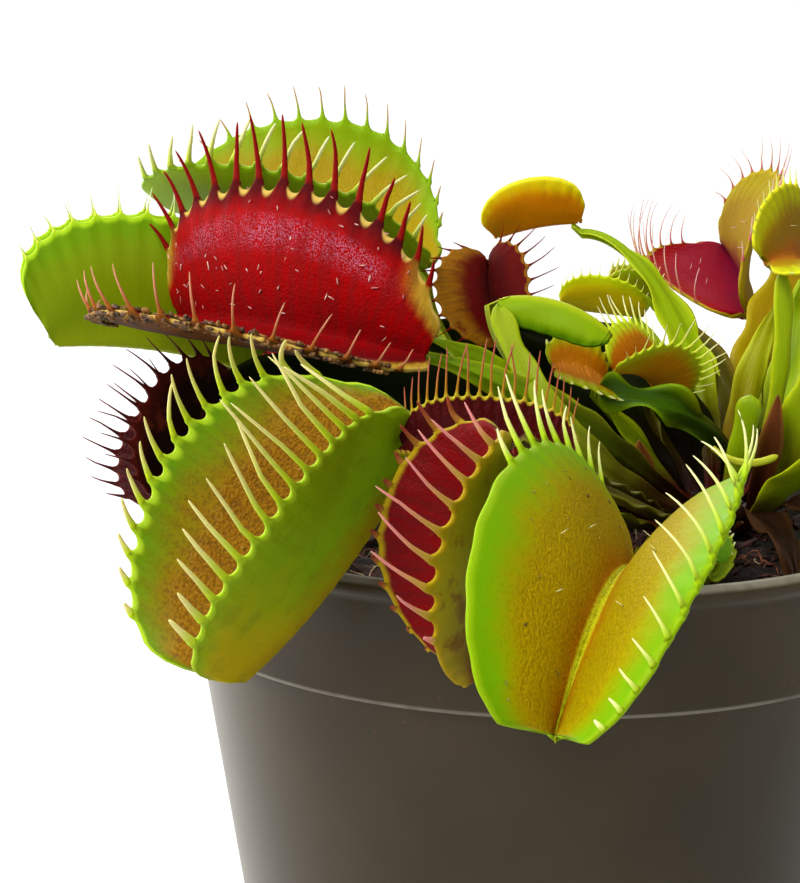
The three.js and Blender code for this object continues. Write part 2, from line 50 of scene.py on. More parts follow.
# The first seed of each kind of piece, and the turn of what may lie any way round
seeds = {'trap': 100, 'stalk': 300, 'blade': 500, 'loose bits': 700, 'crumbs': 7, 'fibres': 19}
anyTurn = 6.28


def unit(v):
    return v / np.maximum(np.linalg.norm(v, axis=-1, keepdims=True), 1e-12)


def smooth(low, high, x):
    t = np.clip((x - low) / (high - low), 0, 1)
    return t * t * (3 - 2 * t)


def turned(v, axis, angle):
    return np.array(Matrix.Rotation(angle, 3, Vector(axis)) @ Vector(v))


def circle(sides):
    return 2 * math.pi * np.arange(sides) / sides


# Faces of a tube whose rings follow each other in the list of points, and of its two ends
def tubeFaces(rings, sides, first=0):
    starts = [(first + i * sides, first + (i + 1) * sides) for i in range(rings - 1)]
    pairs = [(k, (k + 1) % sides) for k in range(sides)]
    return [(low + a, low + b, high + b, high + a) for low, high in starts for a, b in pairs]


def endFaces(rings, sides, first=0):
    return [tuple(first + row * sides + k for k in range(sides)) for row in (0, rings - 1)]


def fanEnds(points, rings, sides, heights):
    faces = []
    for row, z in zip((0, rings - 1), heights):
        faces.extend((row * sides + k, row * sides + (k + 1) % sides, len(points)) for k in range(sides))
        points.append((0, 0, z))
    return faces


def shadeSmooth(piece, on):
    piece.data.polygons.foreach_set('use_smooth', [on] * len(piece.data.polygons))


def makePiece(name, points, faces, material, replaced=(), attributes=None):
    mesh = bpy.data.meshes.new(name)
    mesh.from_pydata([tuple(p) for p in np.asarray(points) * mm], [], faces)
    for key, values in (attributes or {}).items():
        layer = mesh.attributes.new(key, 'FLOAT', 'POINT')
        layer.data.foreach_set('value', np.asarray(values, dtype=np.float32))
    bm = bmesh.new()
    bm.from_mesh(mesh)
    bmesh.ops.recalc_face_normals(bm, faces=bm.faces)
    bm.to_mesh(mesh)
    bm.free()
    piece = bpy.data.objects.new(name, mesh)
    bpy.context.scene.collection.objects.link(piece)
    mesh.materials.append(material)
    shadeSmooth(piece, True)
    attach(piece, "root")
    if replaced:
        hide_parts(*replaced)
    return piece


# Node helpers
class Shader:
    def __init__(self, tree):
        self.tree = tree

    def node(self, kind, **settings):
        made = self.tree.nodes.new(kind)
        for key, value in settings.items():
            setattr(made, key, value)
        return made

    def feed(self, socket, value):
        if isinstance(value, bpy.types.NodeSocket):
            self.tree.links.new(value, socket)
        else:
            socket.default_value = value

    def filled(self, made, values):
        for socket, value in zip(made.inputs, values):
            self.feed(socket, value)
        return made.outputs[0]

    def math(self, operation, a, b=0.0, clamp=False):
        return self.filled(self.node('ShaderNodeMath', operation=operation, use_clamp=clamp), (a, b))

    def times(self, first, *others):
        for other in others:
            first = self.math('MULTIPLY', first, other)
        return first

    def plus(self, a, b, clamp=False):
        return self.math('ADD', a, b, clamp)

    def minus(self, a, b):
        return self.math('SUBTRACT', a, b)

    def ramp(self, value, low, high, fromTo=(0.0, 1.0)):
        made = self.node('ShaderNodeMapRange', interpolation_type='SMOOTHSTEP')
        return self.filled(made, (value, low, high, *fromTo))

    def mix(self, factor, a, b, blend='MIX'):
        made = self.node('ShaderNodeMix', data_type='RGBA', blend_type=blend)
        for socket, value in ((0, factor), (6, a), (7, b)):
            self.feed(made.inputs[socket], value)
        return made.outputs[2]

    def noise(self, place, scale, detail=3.0, roughness=0.55):
        made = self.node('ShaderNodeTexNoise')
        for socket, value in (('Vector', place), ('Scale', scale), ('Detail', detail)):
            self.feed(made.inputs[socket], value)
        self.feed(made.inputs['Roughness'], roughness)
        return made.outputs[0]

    def cells(self, place, scale):
        made = self.node('ShaderNodeTexVoronoi')
        self.feed(made.inputs['Vector'], place)
        self.feed(made.inputs['Scale'], scale)
        return made.outputs['Distance']

    def combine(self, x, y, z):
        return self.filled(self.node('ShaderNodeCombineXYZ'), (x, y, z))

    # Lines that run the length of a leaf, or up a lobe
    def stripes(self, a, often, b, seldom):
        return self.noise(self.combine(self.times(a, often), self.times(b, seldom), 0.0), 1.0, 2)

    # A colour made a little lighter and darker, by two patterns
    def mottled(self, skin, least, most, first, share, second):
        both = self.plus(self.times(first, share), self.times(second, 1 - share))
        light = self.plus(least, self.times(most, both))
        return self.mix(1.0, skin, self.combine(light, light, light), 'MULTIPLY')


number, colour, vector = 'NodeSocketFloat', 'NodeSocketColor', 'NodeSocketVector'


def newGroup(name, inputs, outputs):
    tree = bpy.data.node_groups.new(name, 'ShaderNodeTree')
    for way, sockets in (('INPUT', inputs), ('OUTPUT', outputs)):
        for label, kind in sockets.items():
            tree.interface.new_socket(name=label, in_out=way, socket_type=kind)
    given, result = tree.nodes.new('NodeGroupInput').outputs, tree.nodes.new('NodeGroupOutput').inputs
    return tree, Shader(tree), given, result


def rgb(text):
    values = [int(text[i:i + 2], 16) / 255 for i in (0, 2, 4)]
    return tuple(c / 12.92 if c <= 0.04045 else ((c + 0.055) / 1.055) ** 2.4 for c in values) + (1.0,)


# What a trap looks like: its colours, its amounts, and the amounts that most traps share
trapColours = ('middle', 'hinge', 'band', 'back', 'backEdge', 'backEnd', 'backHinge', 'toothRoot',
               'toothTip', 'paintedGlint', 'blotch', 'rim', 'ridge', 'end')
trapAmounts = {'bandWidth': 0.3, 'bandBlend': 0.16, 'paintedGlintAmount': 0.0, 'blotchAmount': 0.25,
               'innerBlotch': 0.0, 'streaks': 0.0, 'ridgeWidth': 0.04, 'glands': 0.5, 'endAmount': 0.0}


# Colour of a trap: both faces, the band along the margin, and the teeth
def buildTrapColour():
    tree, sh, given, result = newGroup('trap colour', {
        'Place': vector, **dict.fromkeys(('Across', 'Along', 'Inner', 'Tooth', 'To rim'), number),
        **dict.fromkeys(trapColours, colour), **dict.fromkeys(trapAmounts, number)},
        {'Color': colour, 'Gland': number})
    across, along, inner, tooth = (given[k] for k in ('Across', 'Along', 'Inner', 'Tooth'))
    broad = sh.noise(given['Place'], 160, 4)
    fine = sh.noise(given['Place'], 3200, 2)
    veins = sh.stripes(along, 46, across, 2.5)
    drift = sh.times(sh.minus(broad, 0.5), 0.35)
    edge = sh.plus(across, sh.plus(drift, sh.times(sh.minus(veins, 0.5), 0.1)))
    bandStart = sh.minus(1.0, given['bandWidth'])
    bandEnd = sh.plus(bandStart, given['bandBlend'])

    # Inner face: the midrib, the middle, the band, a painted highlight of pale glints, both ends, streaks
    # and glands
    centre = sh.mix(sh.ramp(edge, 0.06, 0.42), given['hinge'], given['middle'])
    nearRidge = sh.math('DIVIDE', across, given['ridgeWidth'])
    centre = sh.mix(sh.ramp(sh.plus(nearRidge, drift), 1.2, 0.7), centre, given['ridge'])
    inside = sh.mix(sh.ramp(edge, bandStart, bandEnd), centre, given['band'])
    # Painted highlight: pale glints in an arc across the lobe, where its bulge catches the light, broken
    # into specks
    glintArc = sh.times(sh.ramp(across, 0.5, 0.66), sh.ramp(across, 0.8, 0.7))
    glintArc = sh.times(glintArc, sh.times(sh.ramp(along, 0.05, 0.25), sh.ramp(along, 0.97, 0.8)))
    specks = sh.times(sh.ramp(sh.noise(given['Place'], 5600, 2), 0.5, 0.62), sh.ramp(broad, 0.3, 0.62))
    inside = sh.mix(sh.times(glintArc, specks, given['paintedGlintAmount']), inside, given['paintedGlint'])
    ends = sh.ramp(sh.math('ABSOLUTE', sh.minus(along, 0.5)), 0.34, 0.46)
    inside = sh.mix(sh.times(ends, sh.ramp(edge, 0.55, 0.85), given['endAmount']), inside, given['end'])
    inside = sh.mix(sh.times(sh.ramp(veins, 0.62, 0.4), given['streaks']), inside, (0.05, 0.01, 0.01, 1.0))
    pits = sh.times(sh.ramp(sh.noise(given['Place'], 3000, 2, 0.5), 0.5, 0.36), 0.42, given['glands'])
    inside = sh.mix(sh.times(pits, sh.ramp(edge, bandEnd, bandStart)), inside, (0.03, 0.012, 0.005, 1.0))

    # Outer face, the spots on both, the rim and the teeth
    back = sh.mix(sh.ramp(sh.plus(along, drift), 0.55, 1.0), given['back'], given['backEnd'])
    back = sh.mix(sh.ramp(edge, 0.34, 0.02), back, given['backHinge'])
    outside = sh.mix(sh.ramp(edge, 0.66, 1.0), back, given['backEdge'])
    spots = sh.ramp(sh.noise(given['Place'], 330, 5, 0.65), 0.52, 0.66)
    outside = sh.mix(sh.times(spots, given['blotchAmount']), outside, given['blotch'])
    inside = sh.mix(sh.times(spots, given['innerBlotch']), inside, given['blotch'])
    body = sh.mix(sh.ramp(inner, 0.3, 0.7), outside, inside)
    body = sh.mix(sh.ramp(given['To rim'], 0.945, 0.99), body, given['rim'])
    spike = sh.mix(sh.ramp(tooth, 0.05, 0.8), given['toothRoot'], given['toothTip'])
    skin = sh.mix(sh.ramp(tooth, 0.0, 0.12), body, spike)
    sh.feed(result['Color'], sh.mottled(skin, 0.86, 0.28, fine, 0.5, broad))
    onSheet = sh.minus(1.0, sh.ramp(tooth, 0.0, 0.05))
    mask = sh.times(sh.ramp(inner, 0.4, 0.8), onSheet, given['glands'])
    sh.feed(result['Gland'], sh.times(mask, sh.ramp(edge, sh.plus(bandStart, 0.12), bandStart)))
    return tree


# Fine relief of leaf skin: glands where the mask says, and soft cells elsewhere
def buildSkinRelief():
    tree, sh, given, result = newGroup('skin relief', {
        'Place': vector, 'Along': number, 'Across': number, 'Gland': number},
        {'Height': number, 'Rough': number})
    glands = sh.ramp(sh.noise(given['Place'], 3000, 2, 0.5), 0.36, 0.62)
    skin = sh.noise(given['Place'], 900, 3, 0.6)
    stripes = sh.stripes(given['Along'], 60, given['Across'], 3)
    low = sh.plus(sh.times(skin, 0.25), sh.times(stripes, 0.35))
    sh.feed(result['Height'], sh.plus(low, sh.times(glands, 2.2, given['Gland'])))
    sh.feed(result['Rough'], sh.plus(0.3, sh.times(0.26, skin)))
    return tree


# Colour of a leaf stalk: red at its foot, green along its wings, paler at their edges
def buildStalkColour():
    tree, sh, given, result = newGroup('stalk colour', {
        'Place': vector, 'Across': number, 'Along': number, 'foot': colour, 'wing': colour,
        'wingEdge': colour, 'footLength': number}, {'Color': colour})
    broad = sh.noise(given['Place'], 190, 4)
    lines = sh.stripes(given['Across'], 7, given['Along'], 2.2)
    reach = sh.plus(given['Along'], sh.times(sh.minus(broad, 0.5), 0.3))
    wing = sh.mix(sh.ramp(sh.math('ABSOLUTE', given['Across']), 0.5, 1.0), given['wing'], given['wingEdge'])
    skin = sh.mix(sh.ramp(reach, 0.05, given['footLength']), given['foot'], wing)
    sh.feed(result['Color'], sh.mottled(skin, 0.8, 0.4, lines, 0.6, broad))
    return tree


# Dust and soil specks that lie on a surface
def buildDust():
    tree, sh, given, result = newGroup('dust', {
        'Place': vector, 'Under': colour, 'Dust': colour, 'Amount': number, 'Mask': number},
        {'Color': colour, 'Specks': number})
    patches = sh.ramp(sh.noise(given['Place'], 70, 5, 0.7), 0.48, 0.72)
    mask = sh.times(sh.ramp(sh.cells(given['Place'], 620), 0.2, 0.08), patches, given['Mask'])
    sh.feed(result['Color'], sh.mix(sh.times(mask, given['Amount']), given['Under'], given['Dust']))
    sh.feed(result['Specks'], mask)
    return tree


trapColour = buildTrapColour()
skinRelief = buildSkinRelief()
stalkColour = buildStalkColour()
dustSpecks = buildDust()


def newMaterial(name):
    material = bpy.data.materials.new(name)
    material.use_nodes = True
    sh = Shader(material.node_tree)
    shader = material.node_tree.nodes['Principled BSDF']
    return material, sh, shader, sh.node('ShaderNodeTexCoord').outputs['Object']


def reading(sh, name):
    return sh.node('ShaderNodeAttribute', attribute_name=name).outputs['Fac']


def placed(sh, tree, values):
    made = sh.node('ShaderNodeGroup', node_tree=tree)
    for key, value in values.items():
        sh.feed(made.inputs[key], rgb(value) if isinstance(value, str) else value)
    return made.outputs


def heightOf(sh, place):
    split = sh.node('ShaderNodeSeparateXYZ')
    sh.feed(split.inputs[0], place)
    return split.outputs[2]


def bumped(sh, shader, height, strength, depth):
    bump = sh.node('ShaderNodeBump')
    bump.inputs['Strength'].default_value = strength
    bump.inputs['Distance'].default_value = depth * mm
    sh.feed(bump.inputs['Height'], height)
    sh.feed(shader.inputs['Normal'], bump.outputs[0])


def livingTissue(shader, glow, gloss=1.0):
    shader.inputs['Subsurface Weight'].default_value = glow
    shader.inputs['Subsurface Radius'].default_value = (1.0, 0.8, 0.25)
    shader.inputs['Subsurface Scale'].default_value = 0.9 * mm
    shader.inputs['Specular IOR Level'].default_value = 0.14 * gloss


# A key such as rightBand gives the right lobe a colour of its own, where the look has rightMiddle
def trapSkin(name, look):
    material, sh, shader, place = newMaterial(name)
    across, along = reading(sh, 'across'), reading(sh, 'along')
    whole = {**trapAmounts, 'paintedGlint': 'c890b0', 'blotch': '6a5a10', 'rim': look['toothRoot'],
             'ridge': look['hinge'], 'backEnd': look['back'], 'backHinge': look['back'],
             'end': look['band'], **look}
    painted = placed(sh, trapColour, {
        'Place': place, 'Across': across, 'Along': along, 'Inner': reading(sh, 'inner'),
        'Tooth': reading(sh, 'tooth'), 'To rim': reading(sh, 'rim'),
        **{key: whole[key] for key in (*trapColours, *trapAmounts)}})
    if 'rightMiddle' in look:
        left = reading(sh, 'left')
        for key in ('middle', 'band', 'back', 'toothRoot', 'toothTip'):
            other = look.get('right' + key[0].upper() + key[1:], look[key])
            sh.feed(painted[0].node.inputs[key], sh.mix(left, rgb(other), rgb(look[key])))
    relief = placed(sh, skinRelief, {'Place': place, 'Along': along, 'Across': across,
                                     'Gland': painted['Gland']})
    sh.feed(shader.inputs['Base Color'], painted['Color'])
    sh.feed(shader.inputs['Roughness'], sh.plus(relief['Rough'], look.get('dull', 0.05)))
    bumped(sh, shader, relief['Height'], 0.5, 0.16)
    livingTissue(shader, 0.35, look.get('gloss', 0.65))
    return material


def stalkSkin(name, look):
    material, sh, shader, place = newMaterial(name)
    across, along = reading(sh, 'across'), reading(sh, 'along')
    painted = placed(sh, stalkColour, {'Place': place, 'Across': across, 'Along': along, **{
        key: look[key] for key in ('foot', 'wing', 'wingEdge', 'footLength')}})
    relief = placed(sh, skinRelief, {'Place': place, 'Along': sh.times(across, 0.15), 'Across': along,
                                     'Gland': 0.0})
    sh.feed(shader.inputs['Base Color'], painted['Color'])
    sh.feed(shader.inputs['Roughness'], relief['Rough'])
    bumped(sh, shader, relief['Height'], 0.6, 0.3)
    livingTissue(shader, 0.25 * look.get('gloss', 1.0), look.get('gloss', 1.0))
    return material


def looseSkin(name, dark, light, shade=0.85):
    material, sh, shader, place = newMaterial(name)
    pattern = sh.noise(place, 700, 4, 0.6)
    sh.feed(shader.inputs['Base Color'], sh.mix(sh.ramp(pattern, 0.35, 0.7), rgb(dark), rgb(light)))
    sh.feed(shader.inputs['Roughness'], sh.ramp(pattern, 0.3, 0.7, (shade - 0.15, shade)))
    bumped(sh, shader, pattern, 0.5, 0.3)
    return material


# Leaves, each with the place and form of its solid and its own colours
green = {'foot': '4c1206', 'wing': '90ac02', 'wingEdge': 'b0c410', 'footLength': 0.55}
redStalk = {'foot': '440c06', 'wing': '8c9808', 'wingEdge': 'b0b014', 'footLength': 0.75}
leafGreen = {'middle': 'a58a1e', 'hinge': '8fa01c', 'band': '86b41a', 'back': '7fae1a', 'backEdge': 'b4d62c',
             'toothRoot': 'c6dc3c', 'toothTip': 'e9ecae', 'bandWidth': 0.3, 'blotchAmount': 0.15}
leafRed = {'middle': '82040c', 'hinge': '5a0408', 'band': '9c8424', 'back': '8f8f26', 'backEdge': 'b09a30',
           'toothRoot': '8a3a20', 'toothTip': 'b04a50', 'bandWidth': 0.08, 'blotch': '6e2416',
           'blotchAmount': 0.6, 'streaks': 0.3, 'glands': 0.25, 'rim': 'b8a040'}
leafYellow = {'middle': 'c48a1c', 'hinge': 'cc7a1c', 'band': 'a8c022', 'back': '98ac1e',
              'backEdge': 'b9cc2c', 'toothRoot': 'd2dc4a', 'toothTip': 'eee8a0', 'bandWidth': 0.3,
              'blotchAmount': 0.1, 'glands': 0.25, 'bandBlend': 0.3}
shadedStalk = {'foot': '2c0c04', 'wing': '544804', 'wingEdge': '747408', 'footLength': 0.95}

leaves = {
    'front_left': {'base': (-11.7, -37.5, 87), 'heading': -166, 'pitch': -68, 'roll': 27, 'length': 30.4,
        'back': 0.04, 'front': 0.19, 'arch': 35, 'power': 0.57, 'teeth': 15,
        'left': {'width': 22.3, 'hinge': 24, 'lip': 30, 'tooth': 12, 'curl': 28, 'skew': 0.45, 'thin': 1.15,
            'flare': 1.2, 'lean': 9, 'fan': 16},
        'right': {'width': 22.8, 'hinge': 70, 'lip': 28, 'tooth': 6.2, 'curl': 30, 'skew': 0.7, 'lean': 30,
            'flare': 1.0}, 'stalk': {'start': (-136, 10), 'bend': (4, -24, 74), 'reach': (2, 9), 'width': 7},
        'look': {**leafGreen, 'middle': '986a00', 'hinge': '6c2e00', 'band': '5c9200', 'back': '84aa04',
            'backEdge': '84a804', 'rim': 'a0c01c', 'backEnd': 'b4a004', 'backHinge': '9c8408',
            'bandWidth': 0.4, 'bandBlend': 0.42, 'toothRoot': 'bcd41c', 'toothTip': 'e0d690',
            'blotch': '6a7a12', 'blotchAmount': 0.3, 'glands': 1.0, 'streaks': 0.12}},
    'front_middle': {'base': (-3.5, -56, 89.3), 'heading': -166, 'pitch': -84, 'roll': -5, 'length': 20.6,
        'front': 0.05, 'arch': 3, 'power': 0.75, 'teeth': 12,
        'both': {'lean': 30},
        'left': {'width': 14.2, 'hinge': 85, 'lip': 37, 'tooth': 7, 'skew': 0.55, 'thin': 0.7,
            'fade': (0.55, 0.78, 0.0), 'flare': 0.9},
        'right': {'width': 12.8, 'hinge': 69, 'lip': 9, 'tooth': 4.5, 'curl': 10, 'skew': 0.3,
            'fade': (0.12, 0.34, 0.25), 'sinus': 0.6},
        'stalk': {'start': (-113, 10), 'bend': (2, -36, 84), 'reach': (-2, 4), 'width': 6,
            'look': shadedStalk},
        'look': {**leafRed, 'toothRoot': 'b8943c', 'toothTip': 'd07a80', 'bandWidth': 0.06, 'back': '94880c',
            'backEdge': 'a89410', 'rim': 'a88c10', 'backEnd': '5c1406', 'rightMiddle': '780206',
            'middle': '780206', 'gloss': 0.5, 'rightToothRoot': '8a5a1c', 'rightToothTip': '7a3020',
            'rightBack': '8c7a20'}},
    'front_open': {'base': (8, -54, 76), 'heading': -102, 'pitch': 8, 'roll': 8, 'length': 25.5,
        'back': 0.14, 'front': 0.12, 'arch': -50, 'power': 0.55, 'teeth': 19, 'valley': 3.0, 'ridge': 0.7,
        'bulge': 0.01, 'ribs': 0.3,
        'both': {'hinge': 16, 'lip': 60},
        'left': {'width': 17, 'tooth': 8.6, 'curl': 40, 'skew': 0.4, 'lean': 40, 'fan': 60,
            'fade': (0.62, 0.95, 0.4), 'sinus': 0.35, 'thin': 0.45, 'flare': 0.9, 'first': 0.2,
            'curlEnd': (0.28, 0.42, 122)},
        'right': {'width': 16.5, 'tooth': 6.8, 'curl': 14, 'skew': 0.8, 'lean': 24, 'fan': -20,
            'fade': (0.4, 0.5, 0.0), 'sinus': 0.5, 'thin': 0.62, 'flare': 1.5},
        'stalk': {'start': (-80, 10), 'bend': (17, -24, 74), 'reach': (11, -1.5), 'width': 8,
            'look': shadedStalk},
        'look': {**leafYellow, 'middle': 'a89200', 'rightMiddle': 'b29600', 'hinge': 'b07200',
            'band': '74a800', 'ridgeWidth': 0.1, 'back': '8cac04', 'bandWidth': 0.4, 'bandBlend': 0.36,
            'toothRoot': 'a8c80c', 'ridge': 'c4c410', 'rim': '88ac04', 'backEdge': '90b008', 'glands': 0.5,
            'gloss': 0.5}},
    'left_red': {'base': (-13.5, -16, 91.5), 'heading': -192, 'pitch': 8, 'roll': 77, 'length': 36,
        'back': 0.03, 'front': 0.01, 'arch': -43, 'power': 0.75, 'teeth': 15, 'ribs': 0.5,
        'left': {'width': 20, 'hinge': 25, 'lip': -15, 'tooth': 6.2, 'curl': 55, 'skew': -0.15, 'thin': 0.32,
            'lean': -15, 'fan': 105, 'sinus': 0.35, 'flare': 0.35},
        'right': {'width': 17.5, 'hinge': 49, 'lip': 100, 'tooth': 8, 'curl': 30, 'flare': 1.2, 'thin': 0.85,
            'sinus': 1.1},
        'stalk': {'start': (-120, 50), 'bend': (8, -4, 79), 'reach': (9, 2), 'width': 7, 'slim': 0.75,
            'look': {'foot': '2c0e04', 'wing': '86aa04', 'wingEdge': 'a4bc0c', 'footLength': 1.15}},
        # The outer face is near-black brown with heavy dark blotches: painted shade under the lobe. The band
        # along the margin is a darker red: painted shade near the lip.
        'look': {**leafRed, 'middle': '6a0206', 'rightMiddle': 'a20002', 'hinge': '8c0004',
            'toothRoot': '94541c', 'toothTip': 'c4806c', 'rightToothRoot': '84100a',
            'rightToothTip': '7c0a0c', 'band': '4c0004', 'bandWidth': 0.24, 'bandBlend': 0.2, 'gloss': 0.3,
            'dull': 0.2, 'back': '3a1a08', 'backEdge': '70400e', 'backHinge': '2a0c06', 'paintedGlint': 'b8809c',
            'paintedGlintAmount': 0.75, 'rim': 'c8a850', 'rimAtTeeth': 0.0, 'end': 'c09a2c', 'endAmount': 1.0,
            'blotch': '1e0a04', 'blotchAmount': 0.9, 'streaks': 0.25}},
    'left_green': {'base': (-15, 16, 98.5), 'heading': -186, 'pitch': 7.5, 'roll': 2.5, 'length': 31.5,
        'back': 0, 'front': 0.14, 'arch': 7, 'power': 0.75, 'teeth': 15, 'ribs': 0.4,
        'both': {'width': 22}, 'left': {'hinge': 71, 'lip': 48, 'tooth': 7.5, 'lean': 22, 'thin': 0.9},
        'right': {'hinge': 90, 'lip': -8, 'tooth': 5, 'curl': -15, 'lean': -18, 'thin': 0.4, 'sinus': 0.35},
        'stalk': {'start': (180, 42), 'bend': (-2, 12, 76), 'reach': (1, 9), 'width': 6},
        'look': {**leafGreen, 'middle': 'a48c00', 'hinge': 'a08000', 'band': '82a402', 'back': '8ca806',
            'backEdge': '9cbc08', 'bandBlend': 0.3, 'bandWidth': 0.32, 'rim': '86ac08',
            'rightMiddle': 'a48c00', 'rightToothRoot': '86ac08', 'rightToothTip': 'a07850', 'glands': 0.15}},
    'far_left': {'base': (-37, 8.5, 86), 'heading': -162, 'pitch': 19, 'roll': 1, 'length': 22.5,
        'back': 0.11, 'front': 0.16, 'arch': -20, 'power': 0.4, 'sheet': 0.8, 'teeth': 15, 'ribs': 1.4,
        'both': {'width': 17, 'curl': 10, 'thin': 0.2, 'flare': 0.35, 'sinus': 0.6},
        'left': {'hinge': 26, 'lip': -15, 'tooth': 4.2}, 'right': {'hinge': 28, 'lip': -14, 'tooth': 3},
        'stalk': {'start': (-174, 10), 'bend': (-8, 10, 71), 'reach': (8, 3), 'width': 8},
        'look': {**leafGreen, 'back': '829a00', 'backEdge': '6c9a00', 'toothTip': 'dcecb0',
            'blotchAmount': 0.0, 'backHinge': '9cac04', 'rim': 'a4cc18'}},
    'left_low': {'base': (-36, -3, 84.5), 'heading': -127, 'pitch': -41, 'roll': -34, 'length': 15,
        'back': 0.07, 'front': 0.1, 'arch': -8, 'power': 0.57, 'sheet': 0.7, 'teeth': 11,
        'both': {'width': 10.4, 'tooth': 5, 'curl': 15, 'thin': 0.45}, 'left': {'hinge': 35, 'lip': 19},
        'right': {'hinge': 56, 'lip': 12},
        'stalk': {'start': (-153, 10), 'bend': (-8, 3, 70), 'reach': (0, 8), 'width': 6},
        # All its colours are darkened far below those of the other red traps: painted shade, as it sits in
        # shadow behind the front traps
        'look': {**leafRed, 'middle': '3c0406', 'hinge': '140203', 'band': '3c0a08', 'back': '1e0605',
            'backEdge': '4a100a', 'toothRoot': '3a0c0a', 'toothTip': '5a1c24', 'rim': '4a100a'}},
    'middle_red': {'base': (-5.5, 11.5, 90), 'heading': 118, 'pitch': 60, 'roll': 44, 'length': 11,
        'back': 0.12, 'front': 0.1, 'arch': -30, 'power': 0.75, 'sheet': 0.7, 'teeth': 10, 'ribs': 0.3,
        'both': {'thin': 0.3, 'flare': 0.3, 'sinus': 0.5},
        'left': {'width': 8, 'hinge': 16, 'lip': 75, 'tooth': 3.5, 'curl': -10},
        'right': {'width': 7, 'hinge': 30, 'lip': 100, 'tooth': 4.5},
        'stalk': {'start': (130, 44), 'bend': (7, 16, 76), 'reach': (6, 1), 'width': 5},
        'look': {**leafRed, 'middle': '5c0604', 'rightMiddle': '440204', 'band': '8c5c08',
            'rightBand': '5a0a06', 'bandWidth': 0.55, 'bandBlend': 0.4, 'back': '8a5a18',
            'backEdge': '8a6418', 'toothRoot': '6a100a', 'gloss': 0.2, 'dull': 0.2, 'toothTip': '4a0a0a',
            'rim': '8a5a14', 'glands': 0.1, 'hinge': '3a0604', 'blotch': '5a1408', 'innerBlotch': 0.7}},
    'back_crescent': {'base': (4, 30.5, 103), 'heading': -180, 'pitch': -4, 'roll': -2, 'length': 10.5,
        'back': 0.07, 'front': 0.13, 'arch': -14, 'power': 0.5, 'sheet': 0.7, 'teeth': 9, 'plain': True,
        'both': {'width': 7.3}, 'left': {'hinge': 50, 'lip': 10}, 'right': {'hinge': 47, 'lip': 9},
        'stalk': {'start': (76, 44), 'bend': (22, 25, 85), 'reach': (8, 0), 'width': 6},
        'look': {**leafYellow, 'middle': 'd07c00', 'back': 'd88600', 'backEdge': 'd8c800', 'band': 'd8d408',
            'rim': 'dcd41e', 'toothRoot': 'dcd41e', 'backEnd': 'c8860e'}},
    'young_pod': {'base': (-5, -0.5, 96), 'heading': -6, 'pitch': 12.5, 'roll': -173, 'length': 13.4,
        'back': 0, 'front': 0.03, 'arch': 56, 'power': 0.53, 'sheet': 0.7, 'teeth': 7, 'plain': True,
        'both': {'width': 4.4, 'hinge': 62, 'lip': -32},
        'stalk': {'start': (-152, 50), 'bend': (5, 1, 80), 'reach': (1, -8), 'neck': (1.6, -0.3), 'width': 8,
            'look': {'foot': '5a2a06', 'wing': '98a804', 'wingEdge': 'a8b40c', 'footLength': 0.6}},
        'look': {**leafGreen, 'back': '84a400', 'backEdge': '5c8a00', 'blotchAmount': 0.0,
            'backHinge': 'a8b808', 'rim': '446c00'}},
    'back_small': {'base': (12.5, 34.5, 90.5), 'heading': -186, 'pitch': 4.5, 'roll': -9, 'length': 10,
        'back': 0.1, 'front': 0.07, 'arch': 2, 'power': 0.53, 'sheet': 0.7, 'teeth': 12, 'ribs': 0.3,
        'both': {'width': 6.8, 'tooth': 1.6, 'thin': 0.25, 'flare': 0.25, 'sinus': 0.4},
        'left': {'hinge': 65, 'lip': 33}, 'right': {'hinge': 61, 'lip': 41},
        'stalk': {'start': (98, 10), 'bend': (19, 25, 76), 'reach': (5, 3), 'width': 5},
        'look': {**leafYellow, 'middle': '9a8a1e', 'back': 'e4d008', 'backEdge': 'c0d008', 'rim': 'c4d418',
            'backHinge': 'd4bc08'}},
    'middle_small': {'base': (14, 17.5, 82.5), 'heading': -112, 'pitch': 43, 'roll': 33, 'length': 10.4,
        'back': 0.16, 'front': 0.11, 'arch': -48, 'sheet': 0.7, 'teeth': 15,
        'both': {'width': 7.2, 'tooth': 4.6, 'thin': 0.5, 'flare': 0.25},
        'left': {'hinge': 41, 'lip': 16, 'curl': 0, 'lean': -16},
        'right': {'hinge': 18, 'lip': 72, 'curl': 10},
        'stalk': {'start': (112, 56), 'bend': (17, 18, 75), 'reach': (4, 1), 'width': 6,
            'look': shadedStalk},
        'look': {**leafYellow, 'middle': 'c4780e', 'band': 'b0c416', 'back': 'e09a10', 'bandWidth': 0.4,
            'backEdge': 'bccc1c', 'backHinge': 'd8901a', 'rim': 'c0d024', 'backEnd': 'd0b414'}},
    'middle_tiny': {'base': (7, 10, 84.5), 'heading': -133, 'pitch': 27, 'roll': 47, 'length': 7.6,
        'back': 0.11, 'front': 0.18, 'arch': -22, 'power': 0.5, 'sheet': 0.7, 'teeth': 8,
        'both': {'width': 5.2, 'tooth': 1.2, 'thin': 0.4}, 'left': {'hinge': 55, 'lip': 74},
        'right': {'hinge': 67, 'lip': 56},
        'stalk': {'start': (150, 55), 'bend': (13, 12, 76), 'reach': (4, 1), 'width': 5},
        'look': {**leafYellow, 'middle': 'c47404', 'band': 'a8b008', 'bandWidth': 0.45, 'bandBlend': 0.4,
            'rim': 'a8b414'}},
    'right_back_red': {'base': (27.5, 38, 90), 'heading': 79, 'pitch': 9, 'roll': 53, 'length': 22.5,
        'back': 0.2, 'front': 0, 'arch': 38, 'power': 0.75, 'sheet': 0.8, 'teeth': 15, 'ribs': 0.3,
        'both': {'flare': 0.3, 'sinus': 0.4},
